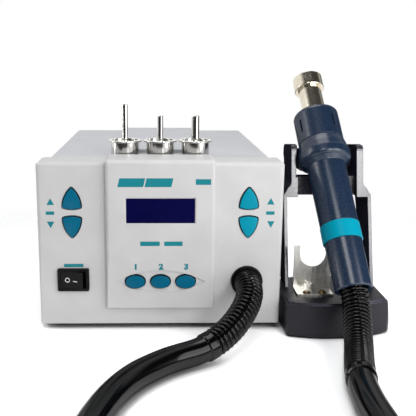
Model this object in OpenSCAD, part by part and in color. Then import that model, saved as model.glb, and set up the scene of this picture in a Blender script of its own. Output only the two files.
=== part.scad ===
// Hot air rework station: a cabinet with a blower, a hot air handle on a
// hose, the stand that holds the handle, and three nozzles.

/* [Cabinet] */
// Width of the front moulding
front_w = 187; // [175:0.5:205]
// Height of the front moulding's top edge above the bench
front_h = 132.3; // [126:0.1:145]
// Depth of the front moulding
front_d = 27; // [26:0.5:34]
// Wall of the front moulding
front_wall = 2.5; // [2:0.1:3]
// Radius along the front moulding's outer edges
front_edge = 3; // [2:0.1:4]
// How far the front leans back between its crease and its lower edge
front_rake = 1.2; // [0.4:0.1:1.6]
// Height of the crease across the front
crease_z = 61.5; // [56:0.5:66]
// Depth of the cabinet from the front's side sections to its back
cabinet_d = 238.5; // [228:0.5:260]
// How far the case stands in from the front moulding at each side
case_inset = 5.7; // [5:0.1:8]
// How far the case stands below the front moulding's top edge
case_drop = 1.1; // [1:0.1:2]
// Radius of the bends along the case's upper edges
case_bend = 2.4; // [2:0.1:3.5]
// Width of the raised part of the cover
rise_w = 69; // [60:0.5:75]
// How far that part of the cover is raised
rise_h = 2.8; // [2:0.1:3.2]
// Thickness of the sheet metal
sheet = 1.2; // [0.8:0.1:1.5]
// Height of the rubber feet
foot_h = 4; // [3:0.5:6]
// Radius of the rubber feet
foot_r = 8; // [6:0.5:10]
// Width of a vent slot
vent_w = 2.4; // [2:0.1:3]

/* [Middle panel] */
// Width of the raised middle panel
panel_w = 83; // [80:0.5:88]
// How far the middle panel stands proud
panel_proud = 5; // [4:0.1:6]
// Height of the middle panel's lower edge
panel_bottom = 18.5; // [16:0.5:22]
// How far the middle panel rises above the side sections
panel_rise = 2.3; // [1.5:0.1:3]
// Width of the display window
window_w = 51.9; // [48:0.1:54]
// Height of the display window
window_h = 19; // [16:0.1:20]
// Distance of the display window's centre below the moulding's top edge
window_drop = 36.1; // [34:0.1:38]
// Thickness of the display window
window_t = 1.5; // [1.2:0.1:1.7]

/* [Keys] */
// Width of an arrow key
arrow_w = 14.1; // [13:0.1:15.4]
// Height of an arrow key from its corners to its tip
arrow_h = 15.5; // [14:0.1:16.4]
// How far an arrow key's base bulges below its corners
arrow_sag = 1.3; // [1:0.1:1.8]
// Radius of an arrow key's long sides
arrow_side_r = 21; // [19:0.5:26]
// Radius of an arrow key's corners
arrow_corner = 0.9; // [0.6:0.1:1.4]
// Distance of the arrow keys from the middle
arrow_x = 67; // [64:0.5:69]
// Distance of the middle between two arrow keys below the moulding's top edge
arrow_drop = 38.4; // [37:0.1:40]
// Gap between the two arrow keys of a pair
arrow_split = 5.5; // [5:0.1:6.5]
// Length of a channel key
channel_l = 14.8; // [13.5:0.1:15.6]
// Height of a channel key
channel_h = 10.3; // [9.5:0.1:10.8]
// Distance between neighbouring channel keys
channel_pitch = 19.3; // [19:0.1:20]
// Height of the channel keys' centres
channel_z = 40.6; // [39:0.1:42]
// Length of the dish round the channel keys
dish_l = 68; // [66:0.5:74]
// Height of the dish round the channel keys
dish_h = 18.2; // [17:0.1:20]
// Depth of the dish
dish_depth = 0.8; // [0.4:0.1:1]
// How far the keys stand proud
key_proud = 1.3; // [0.8:0.1:2]
// How far a key travels
key_travel = 0.8; // [0.5:0.1:1]
// Gap all round a key
key_gap = 0.8; // [0.5:0.05:1]

/* [Switch and hose socket] */
// Width of the power switch's frame
switch_w = 24.1; // [22:0.1:26]
// Height of the power switch's frame
switch_h = 17.9; // [16:0.1:19]
// Distance of the power switch from the middle
switch_x = 67.1; // [66:0.1:70]
// Height of the power switch's centre
switch_z = 40.9; // [39:0.1:42]
// Angle through which the rocker tips
rocker_throw = 18; // [12:1:20]
// Distance of the hose socket from the middle
socket_x = 67; // [65:0.5:69]
// Height of the hose socket's centre
socket_z = 39.4; // [38:0.1:41]
// Radius of the hose socket's flange
socket_r = 12.2; // [11.8:0.1:13.5]
// Thickness of the hose socket's flange
socket_t = 2.5; // [1.5:0.1:3]
// Radius of the hose outside its ribs
hose_r = 10.2; // [9.5:0.1:10.4]

/* [Nozzles] */
// Distance between neighbouring nozzles
nozzle_pitch = 28.1; // [27.8:0.1:29]
// Distance of the nozzles behind the front
nozzle_y = 42; // [41.5:0.5:45]
// Outer radius of a nozzle's cup
cup_r = 11.2; // [10.8:0.05:11.4]
// Wall of a nozzle
cup_wall = 0.9; // [0.6:0.05:1]
// Height of a nozzle's cup
cup_h = 13.1; // [12.8:0.1:15]
// Radius of a nozzle's rim
rim_r = 13.6; // [13:0.1:13.8]
// Radii of the three nozzle tubes
nozzle_tube_r = [2.25, 2.35, 3.1];
// Heights of the three nozzle tubes above their cups
nozzle_tube_h = [27.9, 19.2, 19.2];
// Height of the pegs that carry the nozzles
peg_h = 10; // [8:0.5:10]

/* [Handle] */
// Angle by which the handle leans back
handle_lean = 38; // [36:0.5:40]
// Angle by which the handle leans to the left
handle_tilt = 6.2; // [5.5:0.1:6.5]
// Height of the middle of the handle's lower end
handle_z = 38.4; // [37:0.1:44]
// Distance of the handle's lower end before the cabinet's front
handle_y = 30; // [29:0.5:36]
// Length of the handle with its collar
handle_l = 194.5; // [190:0.5:200]
// Length of the tail grip
tail_l = 42; // [40:0.5:44]
// Radius of the tail grip at its open end
tail_r = 13.8; // [13.6:0.1:14.4]
// Width of the coloured ring
ring_l = 14; // [12:0.5:16]
// Radius of the coloured ring
ring_r = 15.2; // [15.2:0.1:15.5]
// Radius of the body above the coloured ring
body_r = 14.8; // [14.5:0.1:15]
// Radius of the body below its shoulder
neck_r = 15.4; // [15.1:0.1:16.2]
// Radius of the shoulder
shoulder_r = 20.8; // [20:0.1:21]
// Distance of the shoulder from the lower end
shoulder_s = 111; // [110:0.5:114]
// Distance of the joint between body and head from the lower end
head_s = 130; // [128:0.5:132]
// Radius of the head
head_r = 18.3; // [18:0.1:18.9]
// Length of the head
head_l = 28.5; // [27:0.5:32]
// Wall of the handle's mouldings
handle_wall = 2.2; // [1.8:0.1:2.6]
// Outer radius of the heater tube
heater_r = 9.5; // [9.3:0.05:9.6]
// Wall of the heater tube
heater_wall = 0.8; // [0.5:0.05:0.9]
// Outer radius of the collar
collar_r = 12.3; // [12.2:0.05:12.8]
// Length of the collar
collar_l = 12; // [11:0.5:14]
// Play between the collar and a nozzle's cup
cup_play = 0.2; // [0.1:0.05:0.3]

/* [Stand] */
// Gap between the cabinet's front moulding and the stand
stand_gap = 3; // [3:0.5:8]
// Height of the base's top
base_h = 28; // [26:0.5:30]
// Width of the base left of the frame's middle
base_left = 40.4; // [39:0.1:42]
// Width of the base right of the frame's middle
base_right = 43.1; // [42:0.1:46]
// Angle by which the base's right side leans in
base_lean = 10.5; // [8:0.5:11]
// Radius of the base's curved front
base_front_r = 98; // [90:1:120]
// Wall of the base
base_wall = 2.6; // [2:0.1:3]
// Outside half width of the frame's legs
leg_x = 35.8; // [35.2:0.1:36.4]
// Thickness of the legs
leg_t = 2.6; // [2.2:0.1:3]
// Half width of the gap between the prongs
fork_gap = 24.2; // [24:0.1:24.8]
// Thickness of the prongs
prong_t = 5.3; // [4.8:0.1:6]
// Height of the crossbar's lower edge
bar_z = 97.8; // [96.5:0.1:99]
// Height of the crossbar
bar_h = 15.7; // [14:0.1:17]
// Height of the prongs' tops
prong_top = 139.6; // [138:0.1:141]
// Play between the handle and the cradle
cradle_play = 0.5; // [0.3:0.1:0.8]
// Width of the nozzle puller
puller_w = 29.4; // [27:0.1:30.5]
// Height of the nozzle puller
puller_h = 36.4; // [33:0.1:40]
// Thickness of the nozzle puller
puller_t = 1.5; // [1:0.1:2]
// Radius of the nozzle puller's notch
notch_r = 10.3; // [9.8:0.1:10.6]

/* [Blower] */
// Outer radius of the impeller
impeller_r = 27; // [24:0.5:29]
// Width of the impeller's blades
blade_w = 18; // [15:0.5:20]
// Number of blades
blade_n = 24; // [18:1:28]
// Radius of the blower's shaft
shaft_r = 1.5; // [1.2:0.1:2]
// Wall of the blower's housing
scroll_wall = 1.8; // [1.5:0.1:2.2]

/* [Hidden] */
$fn = 48;

light_grey = "#d2d1cf";
case_grey = "#c2c4c7";
teal = "#0f8ba0";
navy = "#2f3e52";
turquoise = "#00a5bc";
stand_black = "#2c2c33";
steel = "#cfd0cf";
board_green = "#2f6b46";
black = "#161618";
brass = "#c9a54e";

cut = 1;
fit = 0.3;
panel_top = front_h + panel_rise;
window_z = front_h - window_drop;
arrow_z = front_h - arrow_drop;
case_w = front_w - 2 * case_inset;
case_top = front_h - case_drop;
rim_d = 6;
case_y0 = front_d - rim_d;
panel_face = -panel_proud;
inner_w = case_w - 2 * sheet;
back_in = cabinet_d - sheet;
floor_z = foot_h + sheet;
joggle_z = foot_h + front_wall + fit;
board_y = front_wall + 7;
board_t = 1.6;
screw_r = 1.6;
head_h = 1.6;
nozzle_z = case_top + 0.1;
stand_x = front_w / 2 + stand_gap + base_left;
handle_x = stand_x + 6;
handle_way = [-cos(handle_lean) * sin(handle_tilt), sin(handle_lean), cos(handle_lean) * cos(handle_tilt)];
function handle_at(s) = [handle_x, -handle_y, handle_z] + s * handle_way;
tail_end = 3.8;
inlet_flange_t = 2.5;

// Middle of everything but the hose, over which the model stands
reach_left = -front_w / 2;
reach_right = stand_x + base_right;
reach_front = handle_at(tail_end)[1] - tail_r * cos(handle_lean);
reach_back = cabinet_d + inlet_flange_t + head_h;
middle_x = (reach_left + reach_right) / 2;
middle_y = (reach_front + reach_back) / 2;

// Three places that the pieces are drawn from
module station() translate([-middle_x, -middle_y, 0]) children();
module stand() station() translate([stand_x, 0, 0]) children();
module handle() station() translate([handle_x, -handle_y, handle_z])
    rotate([-handle_lean, -handle_tilt, 0]) children();

// Profiles drawn flat and pulled along one direction
module along_x(w) rotate([90, 0, 90]) linear_extrude(w, center = true) children();
module along_y(y0, y1) translate([0, y1, 0]) rotate([90, 0, 0]) linear_extrude(y1 - y0) children();
module along_z(z0, z1) translate([0, 0, z0]) linear_extrude(z1 - z0) children();

module both_sides(x) for (side = [-1, 1]) translate([side * x, 0, 0]) children();

module rounded_rect(w, h, r) {
    square([w - 2 * r, h], center = true);
    square([w, h - 2 * r], center = true);
    for (x = [-1, 1], y = [-1, 1]) translate([x * (w / 2 - r), y * (h / 2 - r)]) circle(r);
}

module long_hole(l, w) {
    square([l - w, w], center = true);
    for (x = [-1, 1]) translate([x * (l - w) / 2, 0]) circle(w / 2);
}

// Rectangle from the origin with its two corners at x = 0 rounded
module front_rounded(d, h, r) {
    translate([r, 0]) square([d - r, h]);
    translate([0, r]) square([d, h - 2 * r]);
    for (y = [r, h - r]) translate([r, y]) circle(r);
}

// Block whose front edges and upright corners are rounded
module soft_front_block(w, z0, z1, y0, y1, r) intersection() {
    along_y(y0, y1) translate([0, (z0 + z1) / 2]) rounded_rect(w, z1 - z0, r);
    along_x(w) translate([y0, z0]) front_rounded(y1 - y0, z1 - z0, r);
    along_z(z0, z1) translate([w / 2, y0]) rotate(90) front_rounded(y1 - y0, w, r);
}

module box(w, z0, z1, y0, y1) translate([-w / 2, y0, z0]) cube([w, y1 - y0, z1 - z0]);

function arc(c, r, a0, a1, n) =
    [for (i = [0:n]) c + r * [cos(a0 + (a1 - a0) * i / n), sin(a0 + (a1 - a0) * i / n)]];
function turn_of(v) = atan2(v[1], v[0]);

// Outline of an arrow key: three bulging sides and rounded corners, tip up.
// Its base corners are on the line y = 0 before they are rounded.
function side_centre() =
    let (half = [arrow_w / 4, arrow_h / 2], chord = norm([arrow_w / 2, arrow_h]))
    let (inward = [-arrow_h, -arrow_w / 2] / chord)
    half + inward * sqrt(pow(arrow_side_r, 2) - pow(chord / 2, 2));
function base_radius() = (pow(arrow_w / 2, 2) + pow(arrow_sag, 2)) / (2 * arrow_sag);
function arrow_outline(grow) =
    let (rc = arrow_corner, cs = side_centre(), rs = arrow_side_r - rc)
    let (cb = [0, base_radius() - arrow_sag], rb = base_radius() - rc)
    let (tip = [0, cs[1] + sqrt(rs * rs - cs[0] * cs[0])])
    let (gap = cb - cs, far = norm(gap))
    let (along = (rs * rs - rb * rb + far * far) / (2 * far))
    let (across = sqrt(rs * rs - along * along), way = gap / far)
    let (right = cs + way * along + [-way[1], way[0]] * -across)
    let (left = [-right[0], right[1]], csl = [-cs[0], cs[1]], r = rc + grow)
    concat(
        arc(tip, r, turn_of(tip - cs), turn_of(tip - csl), 5),
        arc(csl, rs + r, turn_of(tip - csl), turn_of(left - csl) + 360 * (left[1] < csl[1] ? 1 : 0), 7),
        arc(left, r, turn_of(left - csl) + 360 * (left[1] < csl[1] ? 1 : 0), turn_of(left - cb) + 360, 5),
        arc(cb, rb + r, turn_of(left - cb), turn_of(right - cb), 7),
        arc(right, r, turn_of(right - cb), turn_of(right - cs), 5),
        arc(cs, rs + r, turn_of(right - cs), turn_of(tip - cs), 7)
    );

// Ellipse-like oval of four arcs
module oval(half_l, half_h) {
    r = half_h * 0.85;
    c = half_l - r;
    big_r = (c * c + half_h * half_h - r * r) / (2 * (half_h - r));
    for (s = [-1, 1]) translate([s * c, 0]) circle(r);
    intersection() {
        translate([0, half_h - big_r]) circle(big_r, $fn = 96);
        translate([0, big_r - half_h]) circle(big_r, $fn = 96);
        square([2 * c * big_r / (big_r - r), 2 * half_h], center = true);
    }
}

// Places of the keys on the front
module at_arrow(side, up) translate([side * arrow_x, 0, arrow_z]) mirror([0, 0, up ? 0 : 1])
    translate([0, 0, arrow_split / 2 + arrow_sag]) children();
function channel_x(i) = (i - 1) * channel_pitch;

module dish_outline() intersection() {
    lens_r = (pow(dish_l / 2, 2) + pow(dish_h / 2, 2)) / dish_h;
    for_lens(lens_r, 1);
    for_lens(lens_r, -1);
}
module for_lens(r, s) translate([0, s * (r - dish_h / 2)]) circle(r, $fn = 180);

module front_openings() {
    for (side = [-1, 1], up = [true, false])
        at_arrow(side, up) along_y(-cut, front_wall + cut) polygon(arrow_outline(key_gap));
    for (i = [0:2]) translate([channel_x(i), 0, channel_z])
        along_y(panel_face - cut, front_wall) oval(channel_l / 2 + key_gap, channel_h / 2 + key_gap);
    translate([0, 0, channel_z]) along_y(panel_face - cut, channel_face + dish_depth) dish_outline();
    translate([0, 0, window_z]) {
        along_y(panel_face - cut, front_wall) square([window_w, window_h], center = true);
        window_edge();
        along_y(window_y, front_wall)
            square([window_w + 2 * window_lap + fit, window_h + 2 * window_lap + fit], center = true);
    }
    translate([-switch_x, 0, switch_z]) {
        along_y(-cut, front_wall + cut)
            square([switch_w - 2 * switch_lap + fit, switch_h - 2 * switch_lap + fit], center = true);
        along_y(-cut, seat_y) rounded_rect(switch_w + fit, switch_h + fit, 1.3);
    }
    translate([socket_x, 0, socket_z]) rotate([-90, 0, 0]) translate([0, 0, -cut]) {
        cylinder(r = barrel_r + fit / 2, h = front_wall + 2 * cut);
        cylinder(r = socket_r + fit / 2, h = seat_y + cut);
    }
    both_sides(front_screw_x) translate([0, front_screw_y, foot_h - cut])
        cylinder(r = screw_r + fit / 2, h = front_wall + 2 * cut);
    along_y(panel_face, groove_depth) translate([0, foot_h + groove_z])
        square([panel_w, groove_w], center = true);
}
window_y = panel_face + front_wall - window_t;
window_lap = 1.5;
window_bevel = 0.8;

// Bevelled edge round the window's opening, mitred at its corners
module window_edge() intersection() {
    along_x(2 * window_w) bevel_outline(window_h / 2);
    along_z(-window_h, window_h) mirror([1, -1]) bevel_outline(window_w / 2);
}
module bevel_outline(half) polygon([
    [panel_face - cut, -half - window_bevel - cut], [panel_face - cut, half + window_bevel + cut],
    [panel_face + window_bevel, half], [panel_face + window_bevel, -half]
]);
channel_face = panel_face + front_rake * (crease_z - channel_z) / (crease_z - panel_bottom);
seat_y = 0.8;
switch_lap = 1.4;
barrel_r = socket_r - 1.7;
front_screw_x = front_w / 2 - 24;
front_screw_y = 18;
groove_z = 6.5;
groove_w = 0.8;
groove_depth = 0.6;

module raked_block(w, z0, z1, y0, y1) difference() {
    soft_front_block(w, z0, z1, y0, y1, front_edge);
    along_x(w + 2 * cut) polygon([
        [y0 - cut, crease_z], [y0, crease_z], [y0 + front_rake, z0 - cut], [y0 - cut, z0 - cut]
    ]);
}

module front_bezel() station() color(light_grey) difference() {
    union() {
        difference() {
            union() {
                raked_block(front_w, foot_h, front_h, 0, front_d);
                raked_block(panel_w, panel_bottom, panel_top, panel_face, front_d);
            }
            box(front_w - 2 * front_wall, foot_h + front_wall, front_h - front_wall,
                front_wall, case_y0);
            box(case_w + 2 * fit, foot_h + front_wall, case_top + fit, case_y0 - cut, front_d + cut);
            box(panel_w - 2 * front_wall, panel_bottom + front_wall, panel_top - front_wall,
                panel_face + front_wall, front_d - front_wall);
        }
        board_bosses(front_wall - 0.2, board_y);
        switch_walls();
    }
    front_openings();
}

// Pillars that carry the display board behind the front
module board_bosses(y0, y1) for (p = boss_places) translate([p[0], 0, p[1]]) rotate([-90, 0, 0])
    translate([0, 0, y0]) cylinder(r = boss_r, h = y1 - y0);
boss_r = 3.2;
board_w = front_w - 17;
board_top = front_h - 7.3;
board_low = crease_z + 3.5;
tongue_w = 66;
tongue_low = channel_z - 10.6;
boss_places = [for (x = [-1, 1], z = [board_low + 4, board_top - 4]) [x * (board_w / 2 - 6), z]];

// Four low walls that stop the switch from turning
module switch_walls() translate([-switch_x, 0, switch_z]) along_y(front_wall - 0.2, front_wall + 4)
    difference() {
        square([switch_w - 2 * switch_lap + fit + 3, switch_h - 2 * switch_lap + fit + 3], center = true);
        square([switch_w - 2 * switch_lap + fit, switch_h - 2 * switch_lap + fit], center = true);
    }

module lcd_window() station() color("#0b0b4a") translate([0, 0, window_z])
    along_y(window_y, window_y + window_t)
        square([window_w + 2 * window_lap, window_h + 2 * window_lap], center = true);

module lcd_module() station() color("#3a3d44") translate([0, 0, window_z]) difference() {
    along_y(window_y + window_t, board_y)
        square([window_w + 2 * window_lap + 2, window_h + 7], center = true);
    along_y(window_y, window_y + window_t + 0.6) square([window_w, window_h], center = true);
}

module display_board() station() color(board_green) difference() {
    along_y(board_y, board_y + board_t) {
        translate([0, (board_top + board_low) / 2]) rounded_rect(board_w, board_top - board_low, 3);
        translate([0, (board_low + 5 + tongue_low) / 2])
            rounded_rect(tongue_w, board_low + 5 - tongue_low, 3);
    }
    for (p = boss_places) translate([p[0], 0, p[1]]) rotate([-90, 0, 0])
        translate([0, 0, board_y - cut]) cylinder(r = screw_r, h = board_t + 2 * cut);
}

// Push switches behind the keys, one a key, each with its plunger
module key_switches() station() color(black) {
    for (side = [-1, 1], up = [-1, 1])
        push_switch(side * arrow_x, arrow_z + up * (arrow_split / 2 + arrow_sag + key_middle));
    for (i = [0:2]) push_switch(channel_x(i), channel_z);
}
key_middle = arrow_h * 0.4;
switch_side = 6;
switch_body = 2.4;
module push_switch(x, z) translate([x, 0, z]) {
    along_y(board_y - switch_body, board_y) square(switch_side, center = true);
    along_y(board_y - switch_body - 0.6, board_y - switch_body) circle(1.7);
}

// A key: its domed cap, the flange behind the wall that keeps it in, its stem
stem_end = board_y - switch_body - 0.6 - key_travel - 0.1;
stem_r = 2.4;
module domed(face, back, middle_z, reach) intersection() {
    dome_r = (reach * reach + pow(key_proud, 2)) / (2 * key_proud);
    along_y(face - key_proud, back) children();
    translate([0, face - key_proud + dome_r, middle_z]) sphere(dome_r, $fn = 96);
}

module arrow_key(side, up) at_arrow(side, up) {
    domed(-0.3, front_wall + 0.3, key_middle, 12) polygon(arrow_outline(0));
    along_y(front_wall + 0.2, front_wall + 1.1) polygon(arrow_outline(key_gap + 0.7));
    translate([0, 0, key_middle]) along_y(front_wall + 1, stem_end) circle(stem_r);
}

module channel_key(i) translate([channel_x(i), 0, channel_z]) {
    back = panel_face + front_wall;
    domed(channel_face - 0.1, back + 0.3, 0, 10) oval(channel_l / 2, channel_h / 2);
    along_y(back + 0.2, back + 1.1) oval(channel_l / 2 + key_gap + 1, channel_h / 2 + key_gap + 1);
    along_y(back + 1, stem_end) circle(stem_r);
}

module temp_up_key() station() color(teal) arrow_key(-1, true);
module temp_down_key() station() color(teal) arrow_key(-1, false);
module air_up_key() station() color(teal) arrow_key(1, true);
module air_down_key() station() color(teal) arrow_key(1, false);
module channel_key_1() station() color(teal) channel_key(0);
module channel_key_2() station() color(teal) channel_key(1);
module channel_key_3() station() color(teal) channel_key(2);

// Power switch: snapped into the front, with a hollow for its rocker
switch_depth = 21;
rocker_w = switch_w - 6.6;
rocker_h = switch_h - 4.6;
rocker_lip = 6.1;
hollow_w = rocker_w * cos(rocker_throw / 2) + 2 * rocker_lip * sin(rocker_throw / 2) + 0.4;
rocker_pivot_y = 3.4;
pivot_r = 1.2;

module switch_housing() station() translate([-switch_x, 0, switch_z]) color(black) difference() {
    union() {
        along_y(-1.5, seat_y) rounded_rect(switch_w, switch_h, 1.2);
        along_y(0, switch_depth)
            square([switch_w - 2 * switch_lap, switch_h - 2 * switch_lap], center = true);
        both_sides(5) along_y(switch_depth - 0.1, switch_depth + 7) square([0.8, 6.3], center = true);
    }
    along_y(-2 - cut, rocker_pivot_y + 7) square([hollow_w, rocker_h + 0.5], center = true);
    translate([0, rocker_pivot_y, 0]) cylinder(r = pivot_r + 0.05, h = rocker_h + 1.2, center = true);
}

module power_rocker() station() translate([-switch_x, rocker_pivot_y, switch_z]) color("#1d1d20")
    rotate(-rocker_throw / 2) {
        half_w = rocker_w / 2;
        along_z(-rocker_h / 2, rocker_h / 2) polygon([
            [-half_w, -rocker_lip], [-half_w * 0.45, -rocker_lip + 0.9], [half_w * 0.45, -rocker_lip + 0.9],
            [half_w, -rocker_lip], [half_w - 0.9, -1], [half_w * 0.4, 3.4], [-half_w * 0.4, 3.4],
            [-half_w + 0.9, -1]
        ]);
        cylinder(r = pivot_r, h = rocker_h + 1, center = true);
    }

// Bush that the hose is clamped in, with a nut behind the front
module hose_socket() station() translate([socket_x, 0, socket_z]) rotate([-90, 0, 0]) color(black)
    rotate_extrude($fn = 96) difference() {
        union() {
            translate([0, -socket_t]) square([socket_r - 0.8, socket_t]);
            translate([0, -socket_t + 0.8]) square([socket_r, socket_t - 0.8 + seat_y]);
            translate([socket_r - 0.8, -socket_t + 0.8]) circle(0.8);
            translate([0, -0.01]) square([barrel_r, 16]);
            translate([0, front_wall + 0.05]) square([barrel_r + 3, 4]);
        }
        translate([-cut, -socket_t - cut]) square([hose_bore + cut, 16 + socket_t + 2 * cut]);
    }
hose_bore = 7.5;

// Sheet metal cover: one sheet bent over the top and both sides, with a part
// pressed up behind the nozzles
module top_cover() station() color(case_grey) difference() {
    union() {
        along_y(case_y0, cabinet_d) difference() {
            u_outline(case_w, case_top, case_bend);
            u_outline(case_w - 2 * sheet, case_top - sheet, case_bend - sheet);
        }
        box(rise_w, case_top - 0.1, case_top + rise_h, rise_y, cabinet_d);
    }
    box(rise_w - 2 * sheet, case_top - sheet - cut, case_top + rise_h - sheet, rise_y + sheet, back_in);
    at_pegs() translate([0, 0, case_top - sheet - cut])
        cylinder(r = peg_shank_r + fit / 2, h = sheet + 2 * cut);
    both_sides(case_w / 2) for (i = [0:13], row = [0, 1])
        translate([0, cabinet_d - 30 - i * 3 * vent_w, 44 + row * 34])
            cube([6 * sheet, vent_w, 26], center = true);
    both_sides(case_w / 2) for (y = cover_screw_y) translate([0, y, cover_screw_z]) rotate([0, 90, 0])
        cylinder(r = screw_r + fit / 2, h = 6 * sheet, center = true);
    box(case_w + 2 * cut, foot_h - cut, joggle_z, case_y0 - cut, front_d + fit);
}
rise_y = nozzle_y + rim_r + 5;
module u_outline(w, top, r) {
    translate([0, (foot_h + top) / 2 - cut / 2 + 0.5]) rounded_rect(w, top - foot_h, r);
    translate([-w / 2, foot_h]) square([w, (top - foot_h) / 2]);
}
cover_screw_y = [front_d + 16, cabinet_d / 2 + 14, cabinet_d - 14];
cover_screw_z = foot_h + 9;

// Base plate: flat sheet with turned-up sides and a joggled front lip
module base_plate() station() color(case_grey) difference() {
    union() {
        box(inner_w - 0.2, foot_h, floor_z, front_d + fit, back_in - 0.1);
        box(inner_w - 40, joggle_z, joggle_z + sheet, front_wall + 6, front_d + fit + sheet);
        box(inner_w - 40, foot_h, joggle_z + sheet, front_d + fit, front_d + fit + sheet);
        both_sides(inner_w / 2 - 0.1 - sheet / 2)
            box(sheet, foot_h, cover_screw_z + 6, front_d + fit, back_in - 0.1);
    }
    both_sides(inner_w / 2 - sheet) for (y = cover_screw_y) translate([0, y, cover_screw_z])
        rotate([0, 90, 0]) cylinder(r = screw_r - 0.2, h = 6 * sheet, center = true);
    both_sides(front_screw_x) translate([0, front_screw_y, joggle_z - cut])
        cylinder(r = screw_r - 0.2, h = sheet + 2 * cut);
    for (p = foot_places()) translate([p[0], p[1], foot_h - cut]) cylinder(r = 2.4, h = sheet + 2 * cut);
    for (i = [0:6]) translate([4 + i * 3 * vent_w, 196, foot_h - cut]) along_z(0, sheet + 2 * cut)
        rotate(90) long_hole(36, vent_w);
}
function foot_places() = [for (x = [-1, 1], y = [front_d + 16, cabinet_d - 24]) [x * (case_w / 2 - 17), y]];

// Turned-up tray that closes the back, with vents and the inlet's cut-out
module rear_panel() station() color(case_grey) difference() {
    w = inner_w - 0.2 - 2 * sheet - 0.2;
    top = case_top - sheet - 0.1;
    intersection() {
        union() {
            box(inner_w - 0.2, floor_z + 0.05, top, back_in, cabinet_d);
            box(inner_w - 0.2, top - sheet, top, back_in - 12, cabinet_d);
            box(w, floor_z + 0.05, floor_z + sheet, back_in - 12, cabinet_d);
        }
        along_y(back_in - 13, cabinet_d) u_outline(inner_w - 0.2, top, case_bend - sheet);
    }
    translate([inlet_x, 0, inlet_z]) along_y(back_in - cut, cabinet_d + cut)
        square([inlet_w + fit, inlet_h + fit], center = true);
    for (i = [0:9], row = [0, 1]) translate([16 + i * 3 * vent_w, 0, 46 + row * 38])
        along_y(back_in - cut, cabinet_d + cut) rotate(90) long_hole(30, vent_w);
    both_sides(20) translate([inlet_x, 0, inlet_z + socket_shift]) rotate([-90, 0, 0])
        translate([0, 0, back_in - cut]) cylinder(r = screw_r - 0.2, h = sheet + 2 * cut);
}

// Mains inlet: a shrouded socket with three pins over a fuse drawer
inlet_x = -48;
inlet_z = 42;
inlet_w = 27;
inlet_h = 31;
inlet_depth = 22;
socket_shift = 4.5;
drawer_w = 21;
drawer_h = 6.4;
drawer_shift = -11;
drawer_l = 20;

flange_w = 50;
flange_y = cabinet_d + inlet_flange_t;
mouth_w = 24.4;
mouth_h = 16.8;
mouth_depth = 17;
pin_w = 2;
pin_h = 4;
pin_places = [[-7, -2.2], [0, 1.8], [7, -2.2]];

module inlet_outline() difference() {
    square([mouth_w, mouth_h], center = true);
    for (s = [-1, 1]) translate([s * mouth_w / 2, mouth_h / 2]) rotate(45) square(6, center = true);
}

module inlet_socket() station() translate([inlet_x, 0, inlet_z]) color(black) difference() {
    union() {
        along_y(cabinet_d, cabinet_d + inlet_flange_t) difference() {
            rounded_rect(flange_w, inlet_h + 4, 3);
            for (s = [-1, 1]) translate([s * 20, socket_shift]) circle(screw_r + fit / 2);
        }
        along_y(cabinet_d - inlet_depth, cabinet_d + 0.01) square([inlet_w, inlet_h], center = true);
    }
    translate([0, 0, socket_shift]) along_y(flange_y - mouth_depth, flange_y + cut) inlet_outline();
    for (p = pin_places) translate([p[0], 0, socket_shift + p[1]])
        along_y(cabinet_d - inlet_depth - cut, cabinet_d) square([pin_w + 0.1, pin_h + 0.1], center = true);
    translate([0, 0, drawer_shift]) along_y(flange_y - drawer_l - fit, flange_y + cut)
        square([drawer_w + 2 * fit, drawer_h + 2 * fit], center = true);
}

module inlet_pins() station() translate([inlet_x, 0, inlet_z + socket_shift]) color(brass)
    for (p = pin_places) translate([p[0], 0, p[1]])
        along_y(cabinet_d - inlet_depth - 7, cabinet_d - 1) square([pin_w, pin_h], center = true);

module fuse_drawer() station() translate([inlet_x, 0, inlet_z + drawer_shift]) color("#242428")
    difference() {
    along_y(flange_y - drawer_l, flange_y) square([drawer_w, drawer_h], center = true);
    translate([0, flange_y - drawer_l + 6, drawer_h / 2])
        rotate([0, 90, 0]) cylinder(r = 2.7, h = drawer_w - 3, center = true);
    along_y(flange_y - 0.8, flange_y + cut)
        translate([0, drawer_h / 2]) square([8, 2.4], center = true);
}

module rubber_feet() station() color(black) for (p = foot_places()) translate([p[0], p[1], 0]) difference() {
    union() {
        cylinder(r = foot_r, h = foot_h);
        translate([0, 0, foot_h - 0.01]) cylinder(r = 2.3, h = sheet + 0.02);
        translate([0, 0, floor_z + 0.01]) cylinder(r = 3.4, h = 1.6);
    }
    translate([0, 0, -cut]) cylinder(r = 3, h = 1.4 + cut);
}

// Pan head screw, its head at the origin and its shank along +Z
module pan_screw(shank) {
    rotate_extrude() intersection() {
        translate([0, -head_h]) square([2 * screw_r, head_h]);
        translate([0, 1.5]) circle(3.6);
    }
    cylinder(r = screw_r - 0.2, h = shank);
}
module cover_screws() station() color(steel) {
    for (side = [-1, 1], y = cover_screw_y) translate([side * case_w / 2, y, cover_screw_z])
        rotate([0, -90 * side, 0]) pan_screw(2 * sheet + 1.5);
    both_sides(20) translate([inlet_x, cabinet_d + inlet_flange_t, inlet_z + socket_shift])
        rotate([90, 0, 0]) pan_screw(inlet_flange_t + sheet + 1);
}
module front_screws() station() color(steel) both_sides(front_screw_x)
    translate([0, front_screw_y, foot_h]) pan_screw(front_wall + fit + sheet + 1);

// Blower: a scroll on its side that blows forward into the hose socket
blower_x = socket_x;
blower_y = 168;
scroll_min = impeller_r + 4;
scroll_grow = 12;
duct_r = 10.5;
blower_z = socket_z + scroll_r(270) - duct_r;
scroll_w = blade_w + 9;
duct_end_y = blower_y - 34;

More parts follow.
